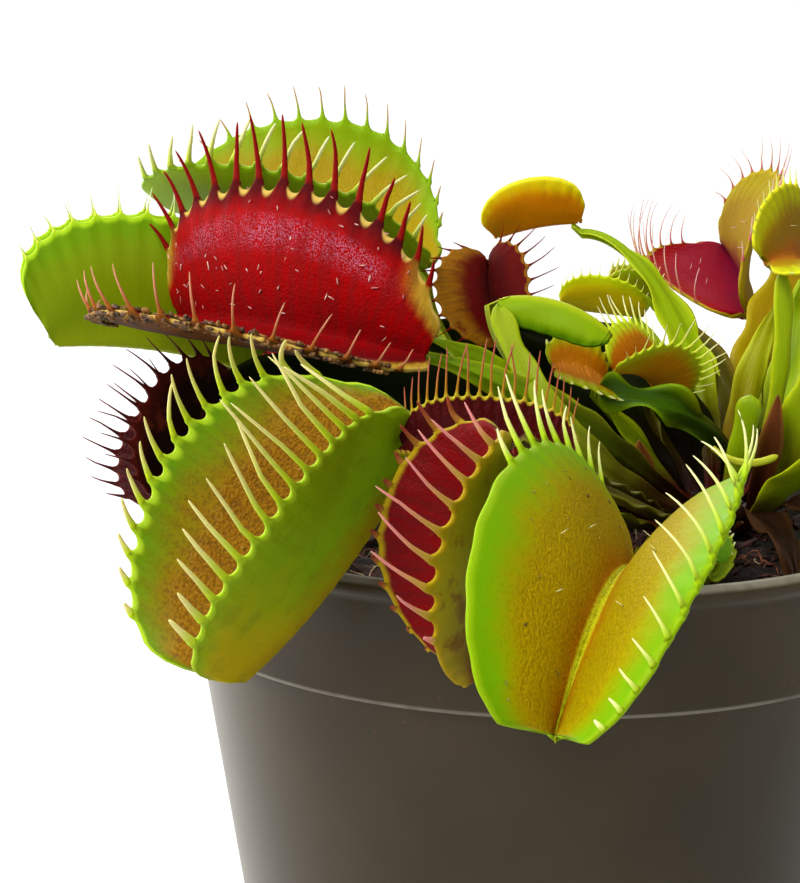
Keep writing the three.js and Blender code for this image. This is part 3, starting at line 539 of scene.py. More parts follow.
        'left': {'width': 15.5, 'hinge': 16, 'lip': 22, 'tooth': 10, 'curl': 72, 'thin': 0.3, 'lean': -12},
        'right': {'width': 18, 'hinge': 34, 'lip': 98, 'tooth': 5.6, 'curl': 24, 'thin': 0.22, 'lean': -30},
        'stalk': {'start': (42, 46), 'bend': (25.5, 21, 80), 'reach': (6, 1), 'width': 6},
        'look': {**leafRed, 'middle': '8c0220', 'rightMiddle': '8e7000', 'band': '900004',
            'rightBand': '948200', 'bandWidth': 0.35, 'bandBlend': 0.2, 'back': 'a07c00',
            'backEdge': 'b8a000', 'gloss': 0.4, 'dull': 0.2, 'toothRoot': 'b8505c', 'toothTip': 'e4b4bc',
            'blotchAmount': 0.1, 'rim': 'a8901c', 'glands': 0.1, 'hinge': '7c1030', 'streaks': 0.1}},
    'right_green': {'base': (32.5, 23.5, 96), 'heading': -105, 'pitch': 38, 'roll': 27, 'length': 14.3,
        'back': 0.11, 'front': 0.18, 'arch': -50, 'power': 0.75, 'sheet': 0.8, 'teeth': 18,
        'both': {'width': 9.6, 'tooth': 2.6, 'thin': 0.2, 'flare': 0.25, 'sinus': 0.3},
        'left': {'hinge': 74, 'lip': 64}, 'right': {'hinge': 16, 'lip': 34, 'curl': 10},
        'stalk': {'start': (16, 50), 'bend': (30, 16, 78), 'reach': (6, 1), 'width': 6},
        'look': {**leafYellow, 'middle': 'a88408', 'band': 'c0c410', 'back': 'b09c0c', 'backEdge': 'd0d010',
            'rim': 'dcdc20', 'bandWidth': 0.4}},
    'right_front': {'base': (38, -18, 84), 'heading': -40, 'pitch': -30, 'roll': 10, 'length': 26,
        'back': 0.06, 'front': 0.12, 'arch': 20, 'teeth': 13,
        'both': {'width': 18, 'tooth': 6.5}, 'left': {'hinge': 46, 'lip': 28},
        'right': {'hinge': 50, 'lip': 24},
        'stalk': {'start': (-50, 10), 'bend': (29, -6, 76), 'reach': (6, 5), 'width': 8},
        'look': {**leafGreen, 'middle': 'a8781c', 'hinge': '94641a'}},
    'right_side': {'base': (48, 8, 92), 'heading': 5, 'pitch': 2, 'roll': -15, 'length': 24, 'front': 0.08,
        'arch': -15, 'power': 0.65, 'teeth': 13,
        'both': {'width': 17, 'tooth': 6.5, 'curl': 25}, 'left': {'hinge': 50, 'lip': 62},
        'right': {'hinge': 44, 'lip': 58},
        'stalk': {'start': (0, 10), 'bend': (33, 10, 77), 'reach': (9, 3), 'width': 8},
        # Its pale purple glints are a painted highlight
        'look': {**leafRed, 'paintedGlint': 'b04a78', 'paintedGlintAmount': 0.4}},
    'right_rear': {'base': (44, 34, 84), 'heading': 45, 'pitch': -20, 'roll': 5, 'length': 21, 'front': 0.12,
        'arch': 15, 'sheet': 0.8, 'teeth': 12,
        'both': {'width': 15, 'hinge': 44, 'lip': 10, 'tooth': 5},
        'stalk': {'start': (40, 10), 'bend': (33, 22, 74), 'reach': (8, 4), 'width': 7},
        'look': {**leafGreen}},
    'rear': {'base': (10, 47, 76), 'heading': 100, 'pitch': -45, 'roll': 0, 'length': 25, 'front': 0.15,
        'arch': 25, 'teeth': 13,
        'both': {'width': 18, 'tooth': 6.5}, 'left': {'hinge': 58, 'lip': 34},
        'right': {'hinge': 60, 'lip': 36},
        'stalk': {'start': (118, 10), 'bend': (15, 30, 74), 'reach': (7, 2), 'width': 8},
        'look': {**leafYellow, 'middle': 'b4641c'}},
    'rear_left': {'base': (-20, 28, 82), 'heading': 150, 'pitch': -8, 'roll': 20, 'length': 24, 'front': 0.1,
        'arch': 10, 'teeth': 13,
        'both': {'width': 16, 'tooth': 6}, 'left': {'hinge': 60, 'lip': 40},
        'right': {'hinge': 52, 'lip': 20},
        'stalk': {'start': (163, 10), 'bend': (2, 20, 74), 'reach': (8, 4), 'width': 8},
        # Its outer face is darkened to olive-black: painted shade in the gap behind the front traps
        'look': {**leafRed, 'middle': '8a0810', 'back': '3a3206', 'backEdge': '5a5408', 'gloss': 0.2,
            'dull': 0.2}},
    'back_young': {'base': (14.5, 36.5, 93), 'heading': -175, 'pitch': 12, 'roll': 0, 'length': 6,
        'back': 0.1, 'front': 0.1, 'arch': 12, 'power': 0.55, 'sheet': 0.6, 'teeth': 9, 'extra': True,
        'both': {'width': 4.6, 'hinge': 62, 'lip': 36, 'tooth': 1.8, 'thin': 0.3},
        'stalk': {'start': (70, 20), 'bend': (24, 24, 78), 'reach': (4, 2), 'width': 4},
        'look': {**leafYellow, 'middle': 'a08a1c', 'back': 'a4b414', 'backEdge': 'acc81c'}},
    'front_young': {'base': (17.4, -35, 73.6), 'heading': -128, 'pitch': 42, 'roll': 20, 'length': 5.5,
        'back': 0.1, 'front': 0.1, 'arch': 20, 'power': 0.55, 'sheet': 0.5, 'teeth': 7, 'extra': True,
        'both': {'width': 3, 'hinge': 40, 'lip': -20, 'curl': 10},
        'stalk': {'start': (-72, 6), 'bend': (20, -18, 71), 'reach': (3, 1), 'width': 3},
        'look': {**leafGreen, 'back': '6ca018', 'backEdge': '80b01e'}},
    'front_hidden': {'base': (2.4, -43, 85.1), 'heading': -178, 'pitch': 0, 'roll': 0, 'length': 15.6,
        'front': 0.05, 'arch': 6, 'sheet': 0.7, 'teeth': 19, 'extra': True,
        'both': {'flare': 0.5},
        'left': {'width': 3.2, 'hinge': 84, 'lip': 80, 'curl': 6, 'thin': 0.75, 'fan': -20},
        'right': {'width': 6.3, 'hinge': 24, 'lip': 0, 'tooth': 5.8, 'curl': 4, 'fan': -40},
        'stalk': {'start': (-96, 10), 'bend': (12, -22, 75), 'reach': (5, 2), 'width': 4,
            'look': shadedStalk},
        'look': {**leafRed, 'middle': '4a0204', 'back': '848008', 'backEdge': 'a8980c',
            'toothRoot': 'a8761c', 'toothTip': 'a44c44', 'rim': 'b8a424', 'gloss': 0.4, 'dull': 0.15}},
}

# What a leaf and a lobe have where they say nothing else; 'both' is what the two lobes share
usualLeaf = {'back': 0.05, 'power': 0.6, 'sheet': 0.9, 'plain': False, 'extra': False, 'ribs': 1.0,
             'ridge': 0.0, 'bulge': 0.035, 'valley': 1.5}
usualLobe = {'tooth': 0.8, 'curl': 20, 'skew': 0, 'thin': 1.0, 'flare': 0.6, 'sinus': 1.0, 'first': 0,
             'lean': 0, 'fan': 0, 'fade': (0, 1, 1.0)}
for name, leaf in leaves.items():
    lobes = {side: {**usualLobe, **leaf.get('both', {}), **leaf.get(side, {})} for side in ('left', 'right')}
    leaves[name] = {**usualLeaf, **leaf, **lobes}

trapMesh = {
    'rows': (0, 0.03, 0.065, 0.11, 0.17, 0.25, 0.35, 0.46, 0.57, 0.68, 0.78, 0.86, 0.92, 0.96, 1),
    'columns': (-0.5, -0.38, -0.29, -0.22, -0.165, -0.08, 0, 0.08, 0.165, 0.22, 0.29, 0.38),
    'rings': (0.035, 0.08, 0.15, 0.24, 0.36, 0.5, 0.64, 0.78, 0.9, 0.97, 1.0),
    'overshoot': (0.075, 0.06, 0.045, 0.03, 0.015), 'turnIn': 0.82, 'toothHalf': 0.165, 'sinus': 0.5,
    'uneven': 0.009, 'rib': 0.06, 'keel': 0.45, 'keelHalf': 0.9, 'ridgeHalf': 0.75, 'wave': 0.2,
    'rimOut': 0.4, 'rimDip': 0.09, 'hairs': ((0.36, 0.42), (0.5, 0.6), (0.64, 0.42)), 'hairHalf': 0.07,
    'hairHeight': (0.9, 1.2),
}
toothSection = [(-1, 0.55), (-0.5, 0.9), (0, 1), (0.5, 0.9), (1, 0.55), (1.18, 0),
                (1, -0.55), (0.5, -0.9), (0, -1), (-0.5, -0.9), (-1, -0.55), (-1.18, 0)]

# Teeth get shorter towards both ends of a trap. Each differs from the next by some degrees of curl, lean,
# hook and kink, and slender is the share of its root's width that goes on into it.
toothShape = {'atEnds': 0.45, 'length': (0.86, 1.0), 'curl': 4, 'lean': 3, 'hook': (-16, 30),
              'hookFrom': 0.6, 'kink': 6, 'kinkAt': (0.3, 0.8), 'slender': 0.72}


def leafAxes(leaf):
    heading, pitch, roll = (math.radians(leaf[k]) for k in ('heading', 'pitch', 'roll'))
    level = np.array([math.cos(heading), math.sin(heading), 0.0])
    up = np.array([0.0, 0.0, 1.0])
    x = level * math.cos(pitch) + up * math.sin(pitch)
    raised = -level * math.sin(pitch) + up * math.cos(pitch)
    z = raised * math.cos(roll) + np.cross(raised, x) * math.sin(roll)
    return x, np.cross(z, x), z


def lobeOf(leaf, side):
    return leaf['left'] if side > 0 else leaf['right']


# Middle of a lobe's thickness: s runs along the midrib, v from the hinge (0) to the margin (1).
# Beyond the ends of s the margin turns in towards the midrib.
def lobeMiddle(leaf, side, s, v):
    x, y, z = leafAxes(leaf)
    lobe, length = lobeOf(leaf, side), leaf['length']
    start = math.radians(shared['outlineStart'])
    inside = np.clip(s, 0, 1)
    beyond = (s - inside) / trapMesh['overshoot'][0]
    turnIn = trapMesh['turnIn'] * np.abs(beyond) ** 1.2
    turn = start + (math.pi - 2 * start) * inside
    half = length * (0.5 + leaf['back'] * (1 - inside) + leaf['front'] * inside)
    marginAlong = length / 2 - half * np.cos(turn) / math.cos(start)
    hingeAlong = length * (inside + 0.012 * beyond)
    bulge = leaf['bulge'] * length * np.sin(math.pi * np.abs(beyond)) * np.sign(beyond)
    marginAlong = (1 - turnIn) * marginAlong + turnIn * hingeAlong + bulge
    along = (1 - v) * hingeAlong + v * marginAlong
    across = v * lobe['width'] * np.sin(turn) ** leaf['power'] * (1 - turnIn)
    hinge = math.radians(lobe['hinge'])
    rate = (math.radians(lobe['lip']) - hinge) / lobe['width']
    angle = hinge + rate * across
    outward = (math.cos(hinge) - np.cos(angle)) / rate
    inward = (np.sin(angle) - math.sin(hinge)) / rate
    bend = length / math.radians(leaf['arch'])
    swing = along / bend
    return (np.array(leaf['base'], dtype=float) + x * ((bend - inward) * np.sin(swing))[..., None]
            + z * (bend - (bend - inward) * np.cos(swing))[..., None] + y * (side * outward)[..., None])


def fadeAt(lobe, c):
    low, high, least = lobe['fade']
    return 1 - (1 - least) * float(smooth(low, high, c))


# Columns along the midrib: their places, the depth of the bay between two teeth, and each tooth's first one
def trapColumns(leaf):
    offsets, toothHalf, beyond = trapMesh['columns'], trapMesh['toothHalf'], trapMesh['overshoot']
    pitch = (1 - 2 * shared['marginInset']) / (leaf['teeth'] - 1)
    centres = shared['marginInset'] + pitch * np.arange(leaf['teeth'])
    columns = [-q for q in beyond]
    columns += [0.0, (centres[0] - pitch / 2) / 2] if centres[0] > pitch / 2 + 1e-3 else [0.0]
    gaps, roots = [1.0] * len(columns), []
    for c in centres:
        roots.append(len(columns) + offsets.index(-toothHalf))
        for q in offsets:
            s = c + q * pitch
            if s > columns[-1] + 1e-4:
                columns.append(s)
                far = max(0.0, abs(q) - toothHalf) / (0.5 - toothHalf)
                gaps.append(math.sqrt(max(0.0, 1 - (1 - far) ** 2)))
            else:
                roots[-1] -= 1
    last = centres[-1] + pitch / 2
    end = ([last, (last + 1) / 2, 1.0] if last < 1 - 1e-3 else [1.0]) + [1 + q for q in beyond[::-1]]
    return centres, pitch, np.array(columns + end), np.array(gaps + [1.0] * len(end)), roots


# Middle surface of both lobes, from the left margin down to the hinge and up to the right margin
def trapSurface(leaf, seed, rng, centres, pitch, s, gaps):
    rows, length = trapMesh['rows'], leaf['length']
    sheets = []
    for side in (1, -1):
        lobe = lobeOf(leaf, side)
        sinus = 0.0 if leaf['plain'] else trapMesh['sinus'] * length * pitch * lobe['sinus']
        bays = np.array([fadeAt(lobe, c) for c in s])
        margin = 1 - sinus / lobe['width'] * gaps * bays * (0.6 + 0.4 * np.sin(np.pi * s))
        if not leaf['plain']:
            margin -= trapMesh['uneven'] * (1 + np.sin(41 * s + 2 * side) * np.sin(23 * s + side + seed))
        v = np.array(rows)[:, None] * margin[None, :]
        sheets.append((lobeMiddle(leaf, side, np.broadcast_to(s, v.shape), v), v))
    middle, across = (np.concatenate([sheets[0][k][::-1], sheets[1][k][1:]]) for k in (0, 1))

    # A rounded valley in place of the sharp hinge
    hingeRow = len(rows) - 1
    hinge = middle[hingeRow].copy()
    left, right = (next(i for i, r in enumerate(rows) if r * lobeOf(leaf, side)['width'] >= leaf['valley'])
                   for side in (1, -1))
    low, high = middle[hingeRow - left].copy(), middle[hingeRow + right].copy()
    for i in range(hingeRow - left, hingeRow + right + 1):
        u = (i - hingeRow + left) / (left + right)
        middle[i] = (1 - u) ** 2 * low + 2 * u * (1 - u) * hinge + u * u * high
    normal = -unit(np.cross(np.gradient(middle, axis=1), np.gradient(middle, axis=0)))
    apart = np.linalg.norm(middle - middle[::-1], axis=-1) / 2

    # Ribs that run up to the teeth, and slow waves
    phase = rng.uniform(0, 2 * math.pi, 4)
    along = np.broadcast_to(s, across.shape)
    rib = np.cos(2 * math.pi * (along - centres[0]) / pitch) * smooth(0.5, 0.97, across)
    rib = rib * trapMesh['rib'] * leaf['ribs']
    sideSign = np.where(np.arange(len(middle)) < hingeRow, 1.0, -1.0)[:, None]
    wave = (np.sin(7 * along + 3 * across * sideSign + phase[0]) * np.sin(4 * across + phase[1])
            + 0.5 * np.sin(13 * along + phase[2]) * np.sin(7 * across * sideSign + phase[3]))
    wave = wave * trapMesh['wave'] * smooth(0.1, 0.5, across) * min(1.0, length / 20)
    return middle + normal * (rib + wave)[..., None], normal, apart, along, across, sideSign


# How far each face lies from the middle surface, with the keel under the midrib and the ridge on it
def trapThickness(leaf, apart, along, across, sideSign):
    half = leaf['sheet'] / 2
    openness = np.clip(((leaf['left']['hinge'] + leaf['right']['hinge']) / 2 - 22) / 30, 0, 1)
    fromHinge = across * np.where(sideSign > 0, leaf['left']['width'], leaf['right']['width'])
    keel = trapMesh['keel'] * np.exp(-(fromHinge / trapMesh['keelHalf']) ** 2)
    keel = keel * np.sin(np.pi * np.clip(along, 0.02, 0.98)) ** 0.3
    bumps = 0.75 + 0.25 * np.sin(95 * along + 3 * np.sin(31 * along))
    inner = np.minimum(half, 0.8 * apart + half * openness) + 0.7 * keel * openness * bumps
    ridge = leaf['ridge'] * np.exp(-(fromHinge / trapMesh['ridgeHalf']) ** 2)
    return inner + ridge * (0.7 + 0.3 * bumps), half + keel


# Points, faces and point values of a mesh that is made bit by bit
class Growing:
    def __init__(self, *keys):
        self.points, self.faces, self.made = [], [], 0
        self.data = {key: [] for key in keys}

    def add(self, points, *values):
        points = np.asarray(points).reshape(-1, 3)
        self.points.append(points)
        for key, value in zip(self.data, values):
            self.data[key].append(np.broadcast_to(np.ravel(value) if np.ndim(value) else value, len(points)))
        self.made += len(points)
        return self.made - len(points)

    def done(self):
        return np.concatenate(self.points), self.faces, {k: np.concatenate(v) for k, v in self.data.items()}


# One tooth, grown out of the margin: ring holds the points it starts from, and out, into and toNext
# point off the margin, into the trap and to the next tooth
def addTooth(mesh, leaf, side, c, rng, centre, ring, rootHalf, out, into, toNext, rim):
    lobe, half = lobeOf(leaf, side), leaf['sheet'] / 2
    atEnds, slender = toothShape['atEnds'], toothShape['slender'] * lobe['thin']
    full = lobe['tooth'] * (atEnds + (1 - atEnds) * math.sin(math.pi * c))
    full *= 1 + lobe['skew'] * (0.5 - c) * 1.6
    full *= rng.uniform(*toothShape['length'])
    full *= fadeAt(lobe, c)
    start, end, most = lobe.get('curlEnd', (0, 1, lobe['curl']))
    curl = lobe['curl'] + (most - lobe['curl']) * float(smooth(start, end, c))
    curl = math.radians(curl + rng.normal(0, toothShape['curl']))
    lean = lobe['lean'] + lobe['fan'] * (0.5 - c)
    lean = math.radians(lean + rng.normal(0, toothShape['lean']))
    hook = math.radians(rng.uniform(*toothShape['hook']))
    kink = math.radians(rng.normal(0, toothShape['kink']))
    kinkAt = rng.uniform(*toothShape['kinkAt'])
    out = unit(out - into * np.dot(out, into))
    count, lastT = len(ring), 0.0
    for t in trapMesh['rings']:
        angle = curl * (0.7 + 0.6 * (t + lastT) / 2) + hook * max(0.0, t - toothShape['hookFrom']) ** 2 * 3
        sway = lean * (0.75 + 0.5 * t) + kink * float(t > kinkAt)
        heading = out * math.cos(angle) + into * math.sin(angle)
        heading = unit(heading * math.cos(sway) - toNext * math.sin(sway))
        centre = centre + heading * full * (t - lastT)
        lastT = t
        if t == 1.0:
            tip = mesh.add(centre, 1.0 + t, c, 0.5, 1.0, side > 0, rim)
            mesh.faces.extend((ring[k], ring[(k + 1) % count], tip) for k in range(count))
            break
        wideways = unit(toNext - heading * np.dot(toNext, heading))
        thick = unit(np.cross(heading, wideways)) * side
        thick *= np.sign(np.dot(thick, into)) or 1.0
        blunt = math.sqrt(max(0.12, 1 - max(0.0, (t - 0.84) / 0.16) ** 2))
        wide = rootHalf * (slender * (1 - 0.55 * t ** 1.1) * blunt
                           + (1 - slender) * math.exp(-t * full / lobe['flare']))
        deep = min(half * 0.6, 0.09 + wide * 0.8) * (0.35 + 0.65 * (1 - t) ** 0.8)
        section = [centre + wideways * wide * q * 0.85 + thick * deep * h for q, h in toothSection]
        face = 0.5 + 0.4 * np.sign([h for _, h in toothSection])
        now = mesh.add(section, 1.0 + t, c, face, max(t, 0.03), side > 0, rim)
        mesh.faces.extend((ring[k], ring[(k + 1) % count], now + (k + 1) % count, now + k)
                          for k in range(count))
        ring = [now + k for k in range(count)]


# Three trigger hairs on the inside of each lobe
def addHairs(mesh, s, inner, normal, rng):
    rows = trapMesh['rows']
    for side in (1, -1):
        for place, up in trapMesh['hairs']:
            i = len(rows) - 1 - side * min(range(len(rows)), key=lambda k: abs(rows[k] - up))
            j = min(range(len(s)), key=lambda k: abs(s[k] - place))
            foot, into = inner[i, j], normal[i, j]
            first = unit(np.cross(into, [0.3, 0.5, 0.8]))
            second = np.cross(into, first)
            height = rng.uniform(*trapMesh['hairHeight'])
            lower = [foot + (first * math.cos(a) + second * math.sin(a)) * trapMesh['hairHalf'] - into * 0.1
                     for a in circle(5)]
            base = mesh.add(lower, up, place, 1.0, 0.5, side > 0, 1.0)
            tip = mesh.add(foot + into * height + first * 0.15, up, place, 1.0, 1.0, side > 0, 1.0)
            mesh.faces.extend((base + k, base + (k + 1) % 5, tip) for k in range(5))
            mesh.faces.append(tuple(base + k for k in range(5)))


def buildTrap(name, leaf, seed):
    rng = np.random.default_rng(seed)
    centres, pitch, s, gaps, roots = trapColumns(leaf)
    middle, normal, apart, along, across, sideSign = trapSurface(leaf, seed, rng, centres, pitch, s, gaps)
    innerOff, outerOff = trapThickness(leaf, apart, along, across, sideSign)
    rows, (total, count) = trapMesh['rows'], across.shape
    rowShare = np.concatenate([rows[::-1], rows[1:]])[:, None]
    thin = 1 - 0.5 * smooth(0.72, 1, rowShare)
    inner = middle + normal * (innerOff * thin)[..., None]
    outer = middle - normal * (outerOff * thin)[..., None]

    # Both faces, closed at the two ends of the midrib
    dip = (1 - leaf['look'].get('rimAtTeeth', 1.0)) * trapMesh['rimDip']
    mesh = Growing('across', 'along', 'inner', 'tooth', 'left', 'rim')
    toLeft = np.broadcast_to(sideSign > 0, across.shape)
    for sheet, isInner in ((inner, 1.0), (outer, 0.0)):
        rim = rowShare * (1 - dip * (1 - gaps))[None, :]
        size = mesh.add(sheet, across, along, isInner, 0.0, toLeft, rim)
    for i in range(total - 1):
        for j in range(count - 1):
            a = i * count + j
            mesh.faces.append((a, a + count, a + count + 1, a + 1))
            mesh.faces.append((size + a, size + a + 1, size + a + count + 1, size + a + count))
        for a in (i * count, i * count + count - 1):
            mesh.faces.append((a, a + count, size + a + count, size + a))

    # The rim of each lobe, and its teeth
    for row, step, side in ((0, 1, 1), (total - 1, -1, -1)):
        lobe = lobeOf(leaf, side)
        outward = unit(middle[row] - middle[row + step])
        edge = middle[row] + outward * leaf['sheet'] / 2 * trapMesh['rimOut']
        rim = mesh.add(edge, 1.0, s, 0.5, 0.0, side > 0, 1 - dip * (1 - gaps))
        innerRow, outerRow = row * count, size + row * count
        mesh.faces.extend((innerRow + j, rim + j, outerRow + j) for j in (0, count - 1))
        toothed = [(r, c) for r, c in zip(roots, centres)
                   if not leaf['plain'] and fadeAt(lobe, c) > 0.1 and c > lobe['first']]
        skipped = {j for r, _ in toothed for j in range(r, r + 4)}
        for j in sorted({*range(count - 1)} - skipped):
            mesh.faces.append((innerRow + j, innerRow + j + 1, rim + j + 1, rim + j))
            mesh.faces.append((rim + j, rim + j + 1, outerRow + j + 1, outerRow + j))
        for r, c in toothed:
            ring = [innerRow + r + k for k in range(5)] + [rim + r + 4]
            ring += [outerRow + r + 4 - k for k in range(5)] + [rim + r]
            root = middle[row, r + 4] - middle[row, r]
            addTooth(mesh, leaf, side, c, rng, middle[row, r + 2], ring, np.linalg.norm(root) / 2,
                     outward[r + 2], normal[row, r + 2], unit(root), 1 - dip)
    if leaf['length'] > 12 and name not in ('young_pod', 'far_left'):
        addHairs(mesh, s, inner, normal, rng)
    return mesh.done()


# A flat strip with two faces, closed at its ends: each ring has a centre, its directions across and up,
# its half width, thickness and lift, and its place along the strip
def stripMesh(around, rings):
    count = 2 * len(around)
    points, data = [], {'across': [], 'along': []}
    for centre, across, up, half, thick, lift, t in rings:
        for side, way in ((1, 1), (-1, -1)):
            edge = centre + across * (half * around)[:, None] + up * (lift + side * thick)[:, None]
            points.append(edge[::way])
            data['across'].append(around[::way])
        data['along'].append(np.full(count, t))
    faces = tubeFaces(len(rings), count)
    for end in (0, (len(rings) - 1) * count):
        for k in range(len(around) - 1):
            faces.append((end + k, end + k + 1, end + count - 2 - k, end + count - 1 - k))
    return np.concatenate(points), faces, {k: np.concatenate(v) for k, v in data.items()}


# Path of a leaf stalk, with the same frames as its solid
def bezier(a, b, c, d, t):
    t = np.asarray(t)[..., None]
    return (1 - t) ** 3 * a + 3 * (1 - t) ** 2 * t * b + 3 * (1 - t) * t * t * c + t ** 3 * d


def turnOnto(start, onto, along):
    angle = math.atan2(np.dot(np.cross(start, onto), along), np.dot(start, onto))
    return angle - math.pi * math.floor(angle / math.pi + 0.5)


def stalkPath(leaf, steps):
    x, y, z = leafAxes(leaf)
    stalk, standoff = leaf['stalk'], shared['standoff']
    compass, height = (math.radians(a) for a in stalk['start'])
    ring = (crown['radius'] + standoff) * math.cos(height)
    start = np.array([crown['x'] + ring * math.cos(compass), crown['y'] + ring * math.sin(compass),
                      crown['top'] - crown['dome'] + (crown['dome'] + standoff) * math.sin(height)])
    under = shared['midribDepth'] * leaf['sheet'] + shared['clearance'] + shared['ridge'] / 2
    setback, drop = stalk.get('neck', (shared['neckSetback'], under))
    neck = np.array(leaf['base']) - x * setback - z * drop
    behind, below = stalk['reach']
    line = (start, np.array(stalk['bend'], dtype=float), neck - x * behind - z * below, neck)
    dense = np.linspace(0, 1, 401)
    apart = np.linalg.norm(np.diff(bezier(*line, dense), axis=0), axis=1)
    length = np.concatenate([[0], np.cumsum(apart)])

    def sample(share):
        t = np.interp(np.asarray(share) * length[-1], length, dense)
        ahead, before = bezier(*line, np.minimum(t + 1e-4, 1)), bezier(*line, np.maximum(t - 1e-4, 0))
        return bezier(*line, t), unit(ahead - before)

    count = shared['stalkSteps']
    marks = np.arange(count + 1) / count
    _, tangents = sample(marks)
    lowest = np.argmin([abs(tangents[0][k]) + (0 if k == 2 else 1e-12 * (2 - k)) for k in range(3)])
    side = unit(np.cross(tangents[0], np.eye(3)[lowest]))
    normals = [np.cross(tangents[0], side)]
    for i in range(1, count + 1):
        axis = np.cross(tangents[i - 1], tangents[i])
        if np.linalg.norm(axis) > 1e-9:
            angle = math.acos(np.clip(np.dot(tangents[i - 1], tangents[i]), -1, 1))
            normals.append(turned(normals[-1], axis / np.linalg.norm(axis), angle))
        else:
            normals.append(normals[-1])
    outwards = start - np.array([crown['x'], crown['y'], start[2]])
    firstTurn = turnOnto(normals[0], unit(np.cross([0, 0, 1], outwards)), tangents[0])
    twist = turnOnto(normals[-1], y, tangents[-1]) - firstTurn
    twist -= math.pi * math.floor(twist / math.pi + 0.5)
    acrossAt = np.array([turned(normals[i], tangents[i], firstTurn + twist * i / count)
                         for i in range(count + 1)])
    share = np.linspace(0, 1, steps + 1)
    place, tangent = sample(share)
    across = np.stack([np.interp(share, marks, acrossAt[:, k]) for k in range(3)], axis=1)
    across = unit(across - tangent * np.sum(across * tangent, axis=1, keepdims=True))
    return share, place, tangent, across, length[-1]


stalkMesh = {'steps': 44, 'around': (1, 0.9, 0.72, 0.5, 0.3, 0.14, 0, -0.14, -0.3, -0.5, -0.72, -0.9, -1),
             'crinkle': 0.05, 'ripple': 0.3, 'vee': 0.16, 'ridgeShare': 0.26}


def buildStalk(leaf, seed):
    rng = np.random.default_rng(seed)
    share, place, tangent, across, length = stalkPath(leaf, stalkMesh['steps'])
    up = np.cross(tangent, across)
    bell = 0.32 + 0.68 * np.sin(np.pi * share ** 1.2) ** 1.4 - 0.08 * share
    half = leaf['stalk']['width'] * leaf['stalk'].get('slim', 1.0) * bell / 2
    phase = rng.uniform(0, 2 * math.pi, 3)
    wings = smooth(0.35, 0.7, bell)
    around = np.array(stalkMesh['around'])
    flat = np.zeros(len(around))
    lift = 1 if np.dot(up[len(up) // 2], (0, 0, 1)) > 0 else -1
    body = (shared['ridge'] / 2 - shared['edge'] / 4) * np.exp(-(around / stalkMesh['ridgeShare']) ** 2)
    thick = shared['edge'] / 4 * np.sqrt(np.maximum(0.15, 1 - np.abs(around) ** 6)) + body
    rings = []
    for i, t in enumerate(share):
        wide = half[i] * (1 + stalkMesh['crinkle'] * wings[i] * math.sin(0.9 * length * t + phase[0]))
        ripple = stalkMesh['ripple'] * wings[i] * np.sin(0.75 * length * t + phase[1] + 1.3 * around)
        vee = lift * stalkMesh['vee'] * wings[i] * half[i] * np.abs(around) ** 1.5
        raised = vee + ripple * np.abs(around) ** 2
        rings.append((place[i], across[i], up[i], wide, thick, raised, t))

    # The neck goes on into the trap's midrib, and the foot into the crown
    x, _, z = leafAxes(leaf)
    hingePoint = np.array(leaf['base'], dtype=float) + x * 0.9 - z * 0.25
    for k, part in ((1, 0.5), (2, 1.0)):
        centre = place[-1] * (1 - part) + hingePoint * part
        rings.append((centre, across[-1], up[-1], half[-1] * (1 - 0.3 * part), thick * 0.9 ** k, flat,
                      1.0 + 0.01 * k))
    outwards = unit(place[0] - np.array([crown['x'], crown['y'], place[0][2]]))
    foot = place[0] - tangent[0] * 1.2 - outwards * 1.5
    rings.insert(0, (foot, across[0], up[0], rings[0][3] * 0.9, thick, flat, 0.0))
    return stripMesh(around, rings)


for order, (name, leaf) in enumerate(leaves.items()):
    small = leaf['extra']
    points, faces, data = buildTrap(name, leaf, seeds['trap'] + order)
    makePiece(f'fine_trap_{name}', points, faces, trapSkin(f'trap skin {name}', leaf['look']),
              () if small else (f'trap_{name}',), data)
    usual = redStalk if leaf['look'].get('streaks', 0) > 0.15 else green
    stalkLook = {**usual, **leaf['stalk'].get('look', {})}
    points, faces, data = buildStalk(leaf, seeds['stalk'] + order)
    makePiece(f'fine_petiole_{name}', points, faces, stalkSkin(f'stalk skin {name}', stalkLook),
              () if small else (f'petiole_{name}',), data)
print('leaves made', len(leaves))

# Loose bits on the traps: pale flecks, dark specks, and the crumbly dried margin of the big red one
looseBits = {
    'flecks_left_red': {'leaf': 'left_red', 'side': -1, 'band': (0.12, 0.97), 'count': 70,
        'size': (0.3, 0.95), 'thick': 0.07, 'dark': 'b0605c', 'light': 'e8c8b8'},
    'flecks_front_middle': {'leaf': 'front_middle', 'side': 1, 'band': (0.1, 0.8), 'count': 14,
        'size': (0.3, 0.7), 'thick': 0.07, 'dark': '9a6a4a', 'light': 'd8b090'},
    'specks_front_left': {'leaf': 'front_left', 'side': 1, 'band': (0.1, 0.9), 'count': 26,
        'size': (0.2, 0.45), 'thick': 0.09, 'dark': '1c0c06', 'light': '4a2210'},
    'specks_front_open': {'leaf': 'front_open', 'side': -1, 'band': (0.1, 0.85), 'count': 26,
        'size': (0.18, 0.4), 'thick': 0.08, 'dark': '3a2a0c', 'light': 'b8a83a'},
    'crumbs_left_red': {'leaf': 'left_red', 'side': 1, 'band': (0.9, 1.0), 'count': 420,
        'size': (0.35, 1.2), 'thick': 0.24, 'dark': '2a1006', 'light': 'a8742c'},
}


def surfacePoint(leaf, side, s, v, inward=True):
    here, ahead, upward = (lobeMiddle(leaf, side, np.array(s + ds), np.array(v + dv))
                           for ds, dv in ((0, 0), (0.004, 0), (0, 0.004)))
    normal = side * unit(np.cross(ahead - here, upward - here)) * (1 if inward else -1)
    return here, unit(ahead - here), normal


